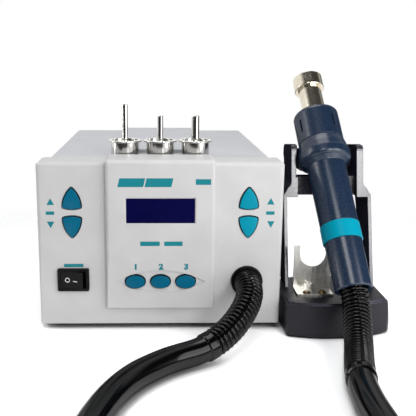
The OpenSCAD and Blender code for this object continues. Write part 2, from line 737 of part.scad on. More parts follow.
// Scroll that opens out as it turns, ending in a square mouth at its foot
function scroll_r(a) = scroll_min + scroll_grow * a / 360;
module scroll_outline(grow) {
    polygon([for (a = [0:12:276]) (scroll_r(a) + grow) * [cos(180 - a), sin(180 - a)]]);
    circle(scroll_min + grow);
    translate([duct_end_y - blower_y, socket_z - blower_z - duct_r - grow])
        square([-(duct_end_y - blower_y), 2 * duct_r + 2 * grow]);
}

module blower_housing() station() translate([blower_x, blower_y, blower_z]) color(black) difference() {
    translate([-scroll_w / 2, 0, 0]) along_x_from(scroll_w) scroll_outline(0);
    translate([-scroll_w / 2 - cut, 0, 0])
        along_x_from(scroll_w - scroll_wall + cut) scroll_outline(-scroll_wall);
    translate([0, duct_end_y - blower_y - cut, socket_z - blower_z]) rotate([-90, 0, 0])
        cylinder(r = duct_r - scroll_wall, h = 2 * scroll_wall);
    translate([scroll_w / 2 - scroll_wall - cut, 0, 0])
        rotate([0, 90, 0]) cylinder(r = 3, h = scroll_wall + 2 * cut);
}
module along_x_from(w) rotate([90, 0, 90]) linear_extrude(w) children();

module blower_cover() station() translate([blower_x - scroll_w / 2, blower_y, blower_z]) color(black)
    difference() {
    union() {
        translate([-scroll_wall, 0, 0]) along_x_from(scroll_wall) scroll_outline(0);
        translate([-scroll_wall - 3, 0, 0]) rotate([0, 90, 0]) cylinder(r = inlet_r + 2, h = 3.1);
    }
    translate([-scroll_wall - 3 - cut, 0, 0])
        rotate([0, 90, 0]) cylinder(r = inlet_r, h = scroll_wall + 4 + 2 * cut);
}
inlet_r = impeller_r - 8;

module blower_impeller() station() translate([blower_x, blower_y, blower_z]) color("#3c4046") {
    back_x = scroll_w / 2 - scroll_wall - 4;
    difference() {
        union() {
            translate([back_x - 1.5, 0, 0]) rotate([0, 90, 0]) cylinder(r = impeller_r, h = 1.5);
            translate([back_x - blade_w, 0, 0]) rotate([0, 90, 0]) cylinder(r = 5, h = blade_w);
        }
        translate([back_x - blade_w - cut, 0, 0]) rotate([0, 90, 0])
            cylinder(r = shaft_r + 0.05, h = blade_w + 2 * cut);
    }
    for (i = [0:blade_n - 1]) rotate([i * 360 / blade_n, 0, 0])
        translate([back_x - blade_w, 0, 0]) along_x_from(blade_w - 1) blade_outline();
    translate([back_x - blade_w, 0, 0]) rotate([0, 90, 0]) difference() {
        cylinder(r = impeller_r, h = 1);
        translate([0, 0, -cut]) cylinder(r = impeller_r - blade_l + 0.6, h = 1 + 2 * cut);
    }
}
blade_l = 6;
blade_t = 0.9;
blade_bend = [impeller_r - 3.3, -5];
module blade_outline() polygon(concat(
    arc(blade_bend, blade_l, 60, 140, 4), arc(blade_bend, blade_l - blade_t, 140, 60, 4)
));

module blower_motor() station() translate([blower_x, blower_y, blower_z]) color(steel) {
    wall_x = scroll_w / 2 - scroll_wall;
    translate([wall_x - 3.4, 0, 0]) rotate([0, 90, 0]) cylinder(r = 9, h = 3.4);
    translate([wall_x - 4 - blade_w - 1.5, 0, 0]) rotate([0, 90, 0]) cylinder(r = shaft_r, h = blade_w + 5);
    translate([wall_x - 0.1, 0, 0]) rotate([0, 90, 0]) cylinder(r = 2.9, h = scroll_wall + 1.6);
}

module air_duct() station() translate([socket_x, 0, socket_z]) rotate([-90, 0, 0]) color("#33363b")
    difference() {
    union() {
        translate([0, 0, 14]) cylinder(r = barrel_r + 1.6, h = duct_end_y - 14);
        translate([0, 0, 14 + 2]) rotate_extrude() translate([barrel_r + 1.6, 0]) circle(0.8);
    }
    translate([0, 0, 14 - cut]) cylinder(r = barrel_r + 0.02, h = 3.5 + cut);
    translate([0, 0, 14 + 3]) cylinder(r = duct_r - scroll_wall, h = duct_end_y);
}

// Mains transformer for the control side
trafo_x = -46;
trafo_y = 192;
trafo_w = 48;
trafo_l = 40;
trafo_h = 42;
module transformer_core() station() translate([trafo_x, trafo_y, floor_z]) color("#6b6d70") difference() {
    union() {
        box(trafo_w, 2, 2 + trafo_h, -trafo_l / 4, trafo_l / 4);
        box(trafo_w + 20, 0, 2.05, -trafo_l / 4, trafo_l / 4);
    }
    both_sides(trafo_w / 4 - 0.5) box(trafo_w / 6, 2 + trafo_h / 5, 2 + trafo_h * 4 / 5, -trafo_l, trafo_l);
    both_sides(trafo_w / 2 + 6) translate([0, 0, -cut]) cylinder(r = screw_r, h = 2 + 2 * cut);
}
module transformer_coil() station() translate([trafo_x, trafo_y, floor_z + 2 + trafo_h / 2]) color("#b3702d")
    difference() {
        coil_h = trafo_h * 3 / 5 - 0.4;
        along_z(-coil_h / 2, coil_h / 2) rounded_rect(trafo_w / 2 + trafo_w / 6 - 1.6, trafo_l - 2, 4);
        along_z(-coil_h, coil_h) square([trafo_w / 2 - trafo_w / 6 - 0.6, trafo_l / 2 + 0.3], center = true);
    }

// Main board on four spacers, with its parts
mb_x = -42;
mb_y = 104;
mb_w = 72;
mb_l = 100;
mb_z = floor_z + 8;
mb_hole = 5;
module at_board_holes() for (x = [-1, 1], y = [-1, 1])
    translate([mb_x + x * (mb_w / 2 - mb_hole), mb_y + y * (mb_l / 2 - mb_hole), 0]) children();
module main_board() station() color(board_green) difference() {
    translate([mb_x, mb_y, 0]) along_z(mb_z, mb_z + board_t) rounded_rect(mb_w, mb_l, 2);
    at_board_holes() translate([0, 0, mb_z - cut]) cylinder(r = screw_r, h = board_t + 2 * cut);
}
module board_spacers() station() color(brass) at_board_holes() {
    translate([0, 0, floor_z]) cylinder(r = 3.2, h = 8);
    translate([0, 0, mb_z - 0.1]) cylinder(r = screw_r - 0.05, h = board_t + 0.1);
    translate([0, 0, mb_z + board_t]) cylinder(r = 2.8, h = 1.6);
}
fin_n = 9;
fin_t = 1.6;
fin_l = 14;
sink_l = 50;
sink_h = 40;
sink_t = 4;
module heat_sink() station() translate([mb_x - 18, mb_y + 12, mb_z + board_t]) color("#a7aaad") {
    cube([sink_t, sink_l, sink_h]);
    for (i = [0:fin_n - 1]) translate([sink_t - 0.1, i * (sink_l - fin_t) / (fin_n - 1), 4])
        cube([fin_l, fin_t, sink_h - 4]);
}
capacitor_places = [[14, -30, 9], [14, -8, 9], [-8, -34, 6.5]];
module capacitors() station() color("#23306b") for (p = capacitor_places)
    translate([mb_x + p[0], mb_y + p[1], mb_z + board_t]) rotate_extrude() {
        square([p[2], 2.6 * p[2]]);
        translate([0, 1]) square([p[2] + 0.4, 2.6 * p[2] - 4]);
    }

// Turned pegs on the cover, each held by a nut inside
peg_shank_r = 3;
module at_pegs() for (i = [-1:1]) translate([i * nozzle_pitch, nozzle_y, 0]) children();
module nozzle_pegs() station() color(steel) at_pegs() {
    peg_r = cup_r - cup_wall - cup_play - 0.15;
    translate([0, 0, case_top]) rotate_extrude() {
        square([peg_r, peg_h - 1]);
        square([peg_r - 1, peg_h]);
        translate([peg_r - 1, peg_h - 1]) circle(1);
    }
    translate([0, 0, case_top - sheet - 6]) cylinder(r = peg_shank_r, h = sheet + 6.1);
    translate([0, 0, case_top - sheet - 3.2]) cylinder(r = 6, h = 3.1, $fn = 6);
}

// Nozzle: a cup pressed from sheet with a rolled rim, and a tube
module nozzle(i) translate([(i - 1) * nozzle_pitch, nozzle_y, nozzle_z]) {
    tube_r = nozzle_tube_r[i];
    tube_top = cup_h + nozzle_tube_h[i];
    bore_r = tube_r - 0.5;
    difference() {
        rotate_extrude($fn = 72) {
            translate([cup_r - cup_wall, 0]) square([cup_wall, cup_h - 0.5]);
            translate([cup_r - cup_wall, cup_h - 1.5]) square([rim_r - 0.75 - cup_r + cup_wall, 1.5]);
            translate([rim_r - 0.75, cup_h - 0.75]) circle(0.75);
            translate([bore_r, cup_h - 2.4]) square([cup_r - bore_r - 0.5, 1.1]);
            translate([bore_r, cup_h - 2.4]) square([tube_r - bore_r, tube_top - cup_h + 2.4]);
            translate([tube_r - 0.1, cup_h - 1.4]) difference() {
                square([1.4, 1.4]);
                translate([1.4, 1.4]) circle(1.3);
            }
        }
        if (i > 0) translate([0, 0, tube_top]) rotate([0, -12, 0])
            translate([-20, -20, 0.2 - tube_r * sin(12)]) cube([40, 40, 10]);
    }
}
module nozzle_small() station() color(steel) nozzle(0);
module nozzle_medium() station() color(steel) nozzle(1);
module nozzle_large() station() color(steel) nozzle(2);

// Base of the stand: a shell with a curved front, open underneath
base_corner = 18;
base_back = 51;
module base_outline(inset) intersection() {
    translate([-8, base_front_r - 21.5]) circle(base_front_r - inset, $fn = 180);
    translate([0, base_back - 68]) circle(68 - inset, $fn = 120);
    translate([-base_left + inset, -40]) square([base_left + base_right - 2 * inset, 120]);
    union() {
        translate([-base_left, -40]) square([base_left + base_right - base_corner, 120]);
        translate([base_right - base_corner - inset, 2]) circle(base_corner, $fn = 96);
        translate([-base_left, 2]) square([base_left + base_right - inset, 66]);
    }
}
module base_body(inset, z0, z1) difference() {
    along_z(z0, z1) base_outline(inset);
    translate([base_right - inset, -50, 0]) rotate([0, -base_lean, 0])
        translate([0, 0, -20]) cube([60, 150, 90]);
}
base_edge = 1.2;
module stand_base() stand() color(stand_black) difference() {
    union() {
        base_body(0, 1.5, base_h - base_edge);
        base_body(base_edge, 0.8, base_h);
    }
    base_body(base_wall, -cut, base_h - base_wall);
    leg_slots();
    for (x = frame_screw_x) translate([x, frame_screw_y, tie_z]) cylinder(r = 1.8, h = base_h - 1.1 - tie_z);
    for (x = puller_screw_x) translate([puller_x + x, puller_screw_y, base_h - base_wall - cut])
        cylinder(r = screw_r - 0.2, h = base_wall + 2 * cut);
}
leg_play = 0.2;
tie_z = base_h - base_wall - 4;
module leg_slots() both_sides(leg_x - leg_t / 2) along_x(leg_t + 2 * leg_play) offset_leg(leg_play);
module offset_leg(grow) polygon([
    [leg_front(tie_z - cut) - grow, tie_z - cut], [leg_front(base_h + cut) - grow, base_h + cut],
    [leg_rear(base_h + cut) + grow, base_h + cut], [leg_rear(tie_z - cut) + grow, tie_z - cut]
]);

// Front and rear edges of the legs at a height
leg_foot = 19;
leg_foot_rear = 41;
leg_head = 40.5;
leg_head_rear = 80;
function leg_front(z) = leg_foot + (leg_head - leg_foot) * (z - base_h) / (bar_z - base_h);
function leg_rear(z) = leg_foot_rear + (leg_head_rear - leg_foot_rear) * (z - base_h) / (bar_z - base_h);
prong_lean = 12.5;
prong_step_z = 126;
prong_deep = 84;
prong_slope = 7;
function prong_front(z) = leg_head + (z - bar_z) * tan(prong_lean);

module stand_floor_plate() stand() color("#55575b") difference() {
    base_body(base_wall + 0.3, 1.2, 4.2);
    for (p = pad_places) translate([p[0], p[1], 0]) cylinder(r = 2.4, h = 6);
}
pad_places = [[-29, -8], [24, -6], [-26, 30], [26, 28]];
module stand_pads() stand() color(black) for (p = pad_places) translate([p[0], p[1], 0]) {
    cylinder(r = 5, h = 1.2);
    cylinder(r = 2.3, h = 4.8);
}

// Frame: legs, crossbar with the cradle, and prongs in one moulding
module stand_frame() union() {
    stand() color(stand_black) {
        both_sides(leg_x - leg_t / 2) along_x(leg_t) polygon([
            [leg_front(tie_z), tie_z], [leg_front(bar_z + 1), bar_z + 1],
            [leg_rear(bar_z + 1), bar_z + 1], [leg_rear(tie_z), tie_z]
        ]);
        difference() {
            box(2 * leg_x - 0.2, tie_z, tie_z + 3.8, leg_front(tie_z) + 1, leg_rear(tie_z) - 1);
            for (x = frame_screw_x) translate([x, frame_screw_y, 0]) cylinder(r = 1.95, h = base_h);
        }
    }
    difference() {
        color(stand_black) union() {
            stand() difference() {
                intersection() {
                    along_y(leg_head - 5, prong_deep + 5) fork_front();
                    along_x(2 * leg_x + 2) fork_side();
                }
                box(2 * fork_gap, bar_z - cut, bar_z + bar_h + cut, 0, bar_y);
                box(2 * fork_gap, bar_z - cut, bar_z + bar_h + cut, bar_y + bar_t, prong_deep + cut);
            }
            handle() translate([-cradle_w / 2, 0, shoulder_s - cradle_l - 3.1])
                cube([cradle_w, neck_r + 12, cradle_l]);
            stand() along_y(saddle_y, saddle_y + saddle_t) saddle_outline();
        }
        handle() translate([0, 0, tail_l]) cylinder(r = neck_r + cradle_play, h = handle_l);
        handle() translate([0, 0, shoulder_s]) cylinder(r = head_r + 3 * cradle_play, h = handle_l);
        station() shoulder_way();
        stand() box(2 * leg_x, bar_z - cradle_l, bar_z, 0, bar_y + bar_t);
    }
}

// Room in which the handle's shoulder is lifted straight up
module shoulder_way() {
    p = handle_at(shoulder_s + 8);
    translate([p[0], p[1], bar_z + bar_h]) cylinder(r = shoulder_r + 1, h = 80, $fn = 96);
}

// Wall between the prongs behind the handle's head
module saddle_outline() polygon([
    [-fork_gap - 0.5, saddle_z + 4.5], [-fork_gap + 7, saddle_z], [fork_gap - 7, saddle_z],
    [fork_gap + 0.5, saddle_z + 4.5], [fork_gap + 0.5, prong_top - 6], [-fork_gap - 0.5, prong_top - 6]
]);
saddle_y = 66;
saddle_t = 8;
saddle_z = 115;
bar_y = 50;
bar_t = 8;
cradle_w = 20;
cradle_l = 15;
frame_screw_x = [-18, 18];
frame_screw_y = 28;
module fork_front() {
    out = fork_gap + prong_t;
    for (s = [0, 1]) mirror([s, 0]) polygon(concat(
        [[0, bar_z], [leg_x, bar_z]],
        arc([leg_x - 2.5, bar_z + 1], 2.5, 0, 60, 4),
        arc([out + 5, bar_z + 12], 5, 240, 180, 5),
        arc([out - 2, prong_top - 2], 2, 0, 90, 4),
        arc([fork_gap + 2, prong_top - 2], 2, 90, 180, 4),
        [[fork_gap, bar_z + bar_h], [0, bar_z + bar_h]]
    ));
}
module fork_side() {
    top_r = 5;
    first = [prong_front(prong_top - top_r) + top_r, prong_top - top_r];
    last = [prong_deep - top_r, first[1] - (prong_deep - top_r - first[0]) * tan(prong_slope)];
    polygon(concat(
        [[leg_head, bar_z]],
        arc(first, top_r, 180, 90 - prong_slope, 6),
        arc(last, top_r, 90 - prong_slope, 0, 6),
        [
            [prong_deep, prong_step_z + 1.5], [prong_deep - 1.5, prong_step_z],
            [leg_head_rear + 1, prong_step_z - 2], [leg_head_rear, prong_step_z - 4], [leg_head_rear, bar_z]
        ]
    ));
}

module frame_screws() stand() color(steel) for (x = frame_screw_x) translate([x, frame_screw_y, tie_z]) {
    cylinder(r = 1.75, h = base_h - 1.3 - tie_z);
    translate([0, 0, -head_h]) cylinder(r = 3.2, h = head_h);
}

// Nozzle puller: a bent steel plate with a notch that a nozzle's rim hooks on
puller_x = -16.3;
puller_y = 11.6;
puller_foot = 14.4;
puller_screw_x = [-6.1, 6.1];
puller_screw_y = 0.7;
notch_drop = 16.9;
module nozzle_puller() stand() translate([puller_x, 0, base_h]) color(steel) difference() {
    union() {
        along_y(puller_y, puller_y + puller_t) difference() {
            translate([-puller_w / 2, 0]) square([puller_w, puller_h]);
            translate([0, puller_h - notch_drop + notch_r]) circle(notch_r);
            translate([-notch_r, puller_h - notch_drop + notch_r]) square([2 * notch_r, puller_h]);
            for (s = [0, 1]) mirror([s, 0]) translate([puller_w / 2, 0])
                polygon([[0.01, -cut], [-0.6, -cut], [-0.6, 0.6], [0.01, 2]]);
        }
        along_z(0, puller_t) translate([0, puller_y + puller_t - puller_foot / 2 - 0.7])
            square([puller_w - 1.2, puller_foot + 1.4], center = true);
    }
    for (x = puller_screw_x) translate([x, puller_screw_y, -cut])
        cylinder(r = screw_r + 0.1, h = puller_t + 2 * cut);
}
module puller_screws() stand() color(brass) for (x = puller_screw_x)
    translate([puller_x + x, puller_screw_y, base_h + puller_t]) rotate([180, 0, 0])
        pan_screw(puller_t + base_wall + 2);

// Handle, drawn along its own axis, on which its tail's open end lies at tail_end
hose_seat = tail_end + 2.5;
recess_r = hose_r + 0.7;
ring_s = tail_l;
ring_end = tail_l + ring_l;
sleeve_r = body_r - 1.6;

module handle_tail() handle() color(navy) rotate_extrude($fn = 96) difference() {
    polygon([
        [hose_bore, hose_seat], [recess_r, hose_seat],
        [recess_r, tail_end + 0.6], [recess_r + 0.6, tail_end],
        [tail_r - 0.8, tail_end], [tail_r, tail_end + 0.8], [body_r - 0.6, tail_l], [hose_bore, tail_l]
    ]);
    translate([0, hose_seat + 3]) square([sleeve_r - handle_wall, tail_l]);
}

module handle_ring() handle() color(turquoise) rotate_extrude($fn = 96) polygon([
    [sleeve_r + 0.01, ring_s], [ring_r - 0.5, ring_s], [ring_r, ring_s + 0.5],
    [ring_r, ring_end - 0.5], [ring_r - 0.5, ring_end], [sleeve_r + 0.01, ring_end]
]);

// Body: a sleeve under the ring, a slightly tapered grip and the shoulder
module handle_body() handle() color(navy) rotate_extrude($fn = 96) difference() {
    polygon(concat(
        [
            [sleeve_r - handle_wall, ring_s + 0.01], [sleeve_r, ring_s + 0.01], [sleeve_r, ring_end + 0.01],
            [body_r, ring_end + 0.01], [(body_r + neck_r) / 2, ring_end + 36], [neck_r, shoulder_s - 3]
        ],
        arc([shoulder_r - 3.2, shoulder_s + 3.2], 3.2, -80, 0, 6),
        [
            [shoulder_r, shoulder_s + 8], [shoulder_r - 0.4, shoulder_s + 8.5],
            [shoulder_r - 1.2, shoulder_s + 13], [head_r, head_s - 0.6],
            [head_r - 0.4, head_s - 0.2], [head_r - 3, head_s - 0.2], [head_r - 3, head_s - 6],
            [neck_r - handle_wall, head_s - 6], [neck_r - handle_wall, shoulder_s - 4],
            [body_r - handle_wall, ring_end + 3]
        ]
    ));
}

// Head: vented cap with a hole for the heater tube
vent_l = 12;
vent_angles = [33, 63, 153, 183, 273, 303];
module handle_head() handle() color(navy) difference() {
    top = head_s + head_l;
    rotate_extrude($fn = 96) difference() {
        union() {
            translate([0, head_s]) square([head_r, head_l - 4]);
            translate([0, head_s]) square([head_r - 4, head_l]);
            translate([head_r - 4, top - 4]) circle(4);
            translate([0, head_s - 5]) square([head_r - 3.2, 6]);
        }
        translate([0, head_s - 6]) square([head_r - 3.2 - handle_wall, head_l + 6 - handle_wall]);
        square([heater_r + 0.4, top + cut]);
    }
    for (a = vent_angles) rotate(a - 90) translate([head_r - 2, 0, head_s + 13])
        rotate([0, 90, 0]) linear_extrude(6, center = true) long_hole(vent_l, 1.8);
}

tube_s = 100;
tube_end = handle_l - 0.8;
module heater_tube() handle() color(steel) rotate_extrude($fn = 72) difference() {
    union() {
        translate([0, tube_s]) square([heater_r, tube_end - tube_s]);
        translate([0, head_s - 12]) square([neck_r - handle_wall - 0.05, 1.5]);
    }
    translate([0, tube_s - cut]) square([heater_r - heater_wall, tube_end - tube_s + 2 * cut]);
}

module nozzle_collar() handle() color("#d8cfb8") rotate_extrude($fn = 96) {
    low = handle_l - collar_l;
    cup_in = cup_r + cup_play;
    translate([heater_r + 0.01, low]) square([collar_r - heater_r - 0.81, 2]);
    translate([cup_in, low + 0.8]) square([collar_r - cup_in, collar_l - 1.2]);
    translate([cup_in, low + 2]) square([collar_r - cup_in - 0.4, collar_l - 2]);
    intersection() {
        translate([collar_r - 0.8, low + 0.8]) circle(0.8);
        translate([cup_in - 1, low]) square([10, 1]);
    }
}

core_s = head_s - 16;
core_r = heater_r - heater_wall - 1.1;
coil_n = 12;
module heater_core() handle() color("#ece7dc") translate([0, 0, core_s]) difference() {
    linear_extrude(tube_end - 12 - core_s) {
        for (a = [0, 45, 90, 135]) rotate(a) square([2 * core_r, 1.4], center = true);
        circle(2.6);
    }
    translate([0, 0, -cut]) cylinder(r = 1.2, h = handle_l);
}
module heater_wire() handle() color("#8f9092") for (i = [0:coil_n - 1])
    translate([0, 0, core_s + 5 + i * (tube_end - 24 - core_s) / (coil_n - 1)])
        rotate_extrude() translate([core_r - 0.1, 0]) circle(0.4, $fn = 16);
module air_sensor() handle() color(steel) translate([0, 0, core_s + 4]) {
    cylinder(r = 1.15, h = tube_end - 13 - core_s);
}

// Hose: points down its middle, as it leaves the socket, runs round the coil
// on the bench before the stand and comes up to the handle
hose_from_socket = [
    [socket_x, -socket_t - 0.05, socket_z], [socket_x, -11, socket_z],
    [66.5, -21, 36.6], [63.5, -31, 32.6], [58.5, -40, 27.6],
    [52, -48, 22.4], [44, -55, 17.4], [35, -61, 13.4], [25, -67, 11], [14.5, -73, 10.4], [4.5, -80, 10.4],
    [-4.5, -88.5, 10.4], [-14, -99, 10.4], [-22.5, -112, 10.4], [-30, -128, 10.4], [-36, -146, 10.4],
    [-41, -166, 10.4], [-45, -187, 10.4], [-49, -209, 10.4], [-53, -230, 10.4], [-61, -250, 10.4]
];
hose_to_handle = [
    [113.6, -300, 10.4], [114, -288, 11.5], [115, -276, 16.5], [116.5, -263, 25], [118, -250, 30.8],
    [119.5, -237, 30.5], [121, -224, 24], [122.5, -210, 15.5], [123.4, -195, 11.2], [123.6, -178, 10.4],
    [123.4, -160, 10.4], [123.4, -143, 10.4], [124.4, -126, 10.4], [126, -113, 10.4], [128.2, -101, 10.4],
    [130.8, -90, 10.4], [133.7, -78.5, 11.2], [136.9, -66.5, 13.4], [139.6, -55, 17.6], [141.6, -45.5, 23],
    [142.9, -37.6, 29.2], handle_at(-3), handle_at(hose_seat - 0.2)
];
coil_x = 32.5;
coil_y = -296;
coil_outer = 102;
coil_inner = 81.2;

// Tube of round section swept along points, each ring square to the route
hose_sides = 10;
function unit(v) = v / norm(v);
function heading(p, i) = unit(p[min(i + 1, len(p) - 1)] - p[max(i - 1, 0)]);
function ring(p, i, r) =
    let (d = heading(p, i), side = unit(cross(d, [0, 0.2, 1])), up = cross(side, d), step = 360 / hose_sides)
    [for (k = [0:hose_sides - 1]) p[i] + r * (cos(k * step) * side + sin(k * step) * up)];
module swept_tube(p, r) {
    n = len(p);
    k = hose_sides;
    polyhedron(
        points = [for (i = [0:n - 1]) each ring(p, i, r)],
        faces = concat(
            [[for (j = [k - 1:-1:0]) j]],
            [for (i = [0:n - 2], j = [0:k - 1])
                [i * k + j, i * k + (j + 1) % k, (i + 1) * k + (j + 1) % k, (i + 1) * k + j]],
            [[for (j = [0:k - 1]) (n - 1) * k + j]]
        )
    );
}
module hose_left() station() color(black) swept_tube(hose_from_socket, hose_r);
module hose_right() station() color(black) swept_tube(hose_to_handle, hose_r);
module hose_coil() station() color(black) translate([coil_x, coil_y, 0.2]) rotate_extrude($fn = 96)
    translate([(coil_outer + coil_inner) / 2, hose_r]) rounded_rect(coil_outer - coil_inner + 2 * hose_r,
        2 * hose_r, hose_r - 1);

front_bezel();
lcd_window();
lcd_module();
display_board();
key_switches();
temp_up_key();
temp_down_key();
air_up_key();
air_down_key();
channel_key_1();
channel_key_2();
channel_key_3();
switch_housing();
power_rocker();
hose_socket();
top_cover();
base_plate();
rear_panel();
inlet_socket();
inlet_pins();
fuse_drawer();
rubber_feet();
cover_screws();
front_screws();
blower_housing();
blower_cover();
blower_impeller();
blower_motor();
air_duct();
transformer_core();
transformer_coil();
main_board();
board_spacers();
heat_sink();
capacitors();
nozzle_pegs();
nozzle_small();
nozzle_medium();
nozzle_large();
stand_base();
stand_floor_plate();
stand_frame();
stand_pads();
frame_screws();
nozzle_puller();
puller_screws();
handle_tail();
handle_ring();
handle_body();
handle_head();
heater_tube();
nozzle_collar();
heater_core();
heater_wire();
air_sensor();
hose_left();
hose_coil();
hose_right();
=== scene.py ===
"""Looks of the hot air rework station: its camera, hose, finishes, printed marks and light.

Lengths are in millimetres, and places are measured from the middle of the cabinet's front,
on the bench. The row frame and the renderer work in metres.
"""

import math

import bpy
import numpy as np
from mathutils import Matrix, Vector


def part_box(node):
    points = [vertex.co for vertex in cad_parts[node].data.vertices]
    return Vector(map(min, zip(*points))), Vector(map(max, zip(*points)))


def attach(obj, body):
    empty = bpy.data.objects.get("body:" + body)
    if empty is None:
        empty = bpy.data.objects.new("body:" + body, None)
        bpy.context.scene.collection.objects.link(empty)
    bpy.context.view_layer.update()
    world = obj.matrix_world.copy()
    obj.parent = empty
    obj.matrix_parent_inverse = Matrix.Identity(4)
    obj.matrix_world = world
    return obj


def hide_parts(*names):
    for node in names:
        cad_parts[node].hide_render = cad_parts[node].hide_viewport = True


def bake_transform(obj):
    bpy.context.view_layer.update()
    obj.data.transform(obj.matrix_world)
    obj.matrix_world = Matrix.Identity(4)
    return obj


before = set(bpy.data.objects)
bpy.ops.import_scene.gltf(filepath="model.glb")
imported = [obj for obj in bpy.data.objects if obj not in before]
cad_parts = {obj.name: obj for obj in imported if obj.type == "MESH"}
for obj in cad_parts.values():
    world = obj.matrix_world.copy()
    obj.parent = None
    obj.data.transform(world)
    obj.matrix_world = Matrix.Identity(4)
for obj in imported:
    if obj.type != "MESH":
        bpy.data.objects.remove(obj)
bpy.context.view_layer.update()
scene = bpy.context.scene

# Camera
# It stands half a metre before the cabinet and looks down on it by 12.5 degrees. The
# lens's middle lies left of the picture's middle, hence the shift.
front_low, front_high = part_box("front_bezel")
panel_proud = 5
front_middle = Vector(((front_low.x + front_high.x) / 2, front_low.y + panel_proud / 1000, 0))


def place(x, y, z):
    """The point in the row frame, in metres, of a place given in millimetres."""
    return front_middle + Vector((x, y, z)) / 1000


eye = place(-3.797, -505.65, 209.435)
turn, tip, roll = (math.radians(a) for a in (1.244, 12.473, 0.254))
ahead = Vector((math.sin(turn) * math.cos(tip), math.cos(turn) * math.cos(tip), -math.sin(tip)))
right = Vector((math.cos(turn), -math.sin(turn), 0))
up = right.cross(ahead)
right, up = math.cos(roll) * right + math.sin(roll) * up, math.cos(roll) * up - math.sin(roll) * right
picture_width, focal_pixels, middle_pixel = 416, 684.46, 170
camera_data = bpy.data.cameras.new("camera")
camera_data.sensor_width = 36
camera_data.lens = camera_data.sensor_width * focal_pixels / picture_width
camera_data.shift_x = (picture_width / 2 - middle_pixel) / picture_width
camera_data.clip_start = 0.01
camera = bpy.data.objects.new("camera", camera_data)
camera.matrix_world = Matrix([[right[i], up[i], -ahead[i], eye[i]] for i in range(3)] + [[0, 0, 0, 1]])
scene.collection.objects.link(camera)
scene.camera = camera

# Hose
# A smooth rubber hose with a ribbed boot moulded over each end, so that it doesn't
# kink there. It leaves the socket, lies in a turn and a half on the bench before
# the stand, and comes up into the handle's tail.
socket_x, socket_z, flange_t, end_gap = 67, 39.4, 2.5, 0.05
from_socket = [
    (socket_x, -flange_t - end_gap, socket_z), (socket_x, -11, socket_z),
    (66.5, -21, 36.6), (63.5, -31, 32.6), (58.5, -40, 27.6), (52, -48, 22.4),
    (44, -55, 17.4), (35, -61, 13.4), (25, -67, 11), (14.5, -73, 10.4), (4.5, -80, 10.4), (-4.5, -88.5, 10.4),
    (-14, -99, 10.4), (-22.5, -112, 10.4), (-30, -128, 10.4), (-36, -146, 10.4), (-41, -166, 10.4),
    (-45, -187, 10.4), (-49, -209, 10.4), (-53, -230, 10.4),
]
handle_foot = np.array((142.9, -30, 38.4))
handle_way = np.array((-0.08510, 0.61566, 0.78340))
before_tail, hose_seat = 3, 6.1
to_handle = [
    (113.9, -285, 12.4), (115, -276, 16.5), (116.5, -263, 25), (118, -250, 30.8),
    (119.5, -237, 30.5), (121, -224, 24), (122.5, -210, 15.5), (123.4, -195, 11.2), (123.6, -178, 10.4),
    (123.4, -160, 10.4), (123.4, -143, 10.4), (124.4, -126, 10.4), (126, -113, 10.4), (128.2, -101, 10.4),
    (130.8, -90, 10.4), (133.7, -78.5, 11.2), (136.9, -66.5, 13.4), (139.6, -55, 17.6), (141.6, -45.5, 23),
    (142.9, -37.6, 29.2),
    tuple(handle_foot - before_tail * handle_way), tuple(handle_foot + hose_seat * handle_way),
]
coil_x, coil_y, outer_turn, inner_turn, lying_z = 32.5, -296, 102, 81.2, 10.4
coil_from, coil_to, coil_step = 160, 716, 12
shift_from, shift_over = 365, 140
turns = []
for degrees in range(coil_from, coil_to, coil_step):
    moved_in = min(max((degrees - shift_from) / shift_over, 0), 1)
    radius = outer_turn + (inner_turn - outer_turn) * moved_in**2 * (3 - 2 * moved_in)
    angle = math.radians(degrees)
    turns.append((coil_x + radius * math.cos(angle), coil_y + radius * math.sin(angle), lying_z))


def smooth_line(points, step):
    """A smooth line through points, with a point about every step."""
    points = np.array(points, float)
    ends = np.vstack([2 * points[0] - points[1], points, 2 * points[-1] - points[-2]])
    line = []
    for a, b, c, d in zip(ends, ends[1:], ends[2:], ends[3:]):
        count = max(1, round(float(np.linalg.norm(c - b)) / step))
        for t in np.arange(count) / count:
            bend = (2 * a - 5 * b + 4 * c - d) * t**2 + (3 * b - a - 3 * c + d) * t**3
            line.append(b + 0.5 * ((c - a) * t + bend))
    return np.array(line + [points[-1]])


def swept(line, radii, sides):
    """Points and faces of a round tube along a line."""
    heading = np.gradient(line, axis=0)
    heading /= np.linalg.norm(heading, axis=1)[:, None]
    nearly_upright = [0, 0.05, 1]
    side = np.cross(heading, nearly_upright)
    side /= np.linalg.norm(side, axis=1)[:, None]
    over = np.cross(side, heading)
    angles = np.arange(sides) * 2 * math.pi / sides
    round_it = np.cos(angles)[:, None] * side[:, None] + np.sin(angles)[:, None] * over[:, None]
    rings = line[:, None] + radii[:, None, None] * round_it
    faces = [
        (i * sides + j, i * sides + (j + 1) % sides, (i + 1) * sides + (j + 1) % sides, (i + 1) * sides + j)
        for i in range(len(line) - 1)
        for j in range(sides)
    ]
    first, last = range(sides), range((len(line) - 1) * sides, len(line) * sides)
    return rings.reshape(-1, 3), faces + [tuple(reversed(first)), tuple(last)]


def linear(code):
    """A hex sRGB colour as the linear values that the renderer works in."""
    channels = [int(code[i : i + 2], 16) / 255 for i in (1, 3, 5)]
    return [c / 12.92 if c <= 0.04045 else ((c + 0.055) / 1.055) ** 2.4 for c in channels] + [1]


def add(tree, kind, settings=None, inputs=None):
    """Adds a shader node with its settings, its inputs set to values or linked to outputs."""
    node = tree.nodes.new("ShaderNode" + kind)
    for name, value in (settings or {}).items():
        setattr(node, name, value)
    for name, value in (inputs or {}).items():
        if isinstance(value, bpy.types.NodeSocket):
            tree.links.new(value, node.inputs[name])
        else:
            node.inputs[name].default_value = value
    return node


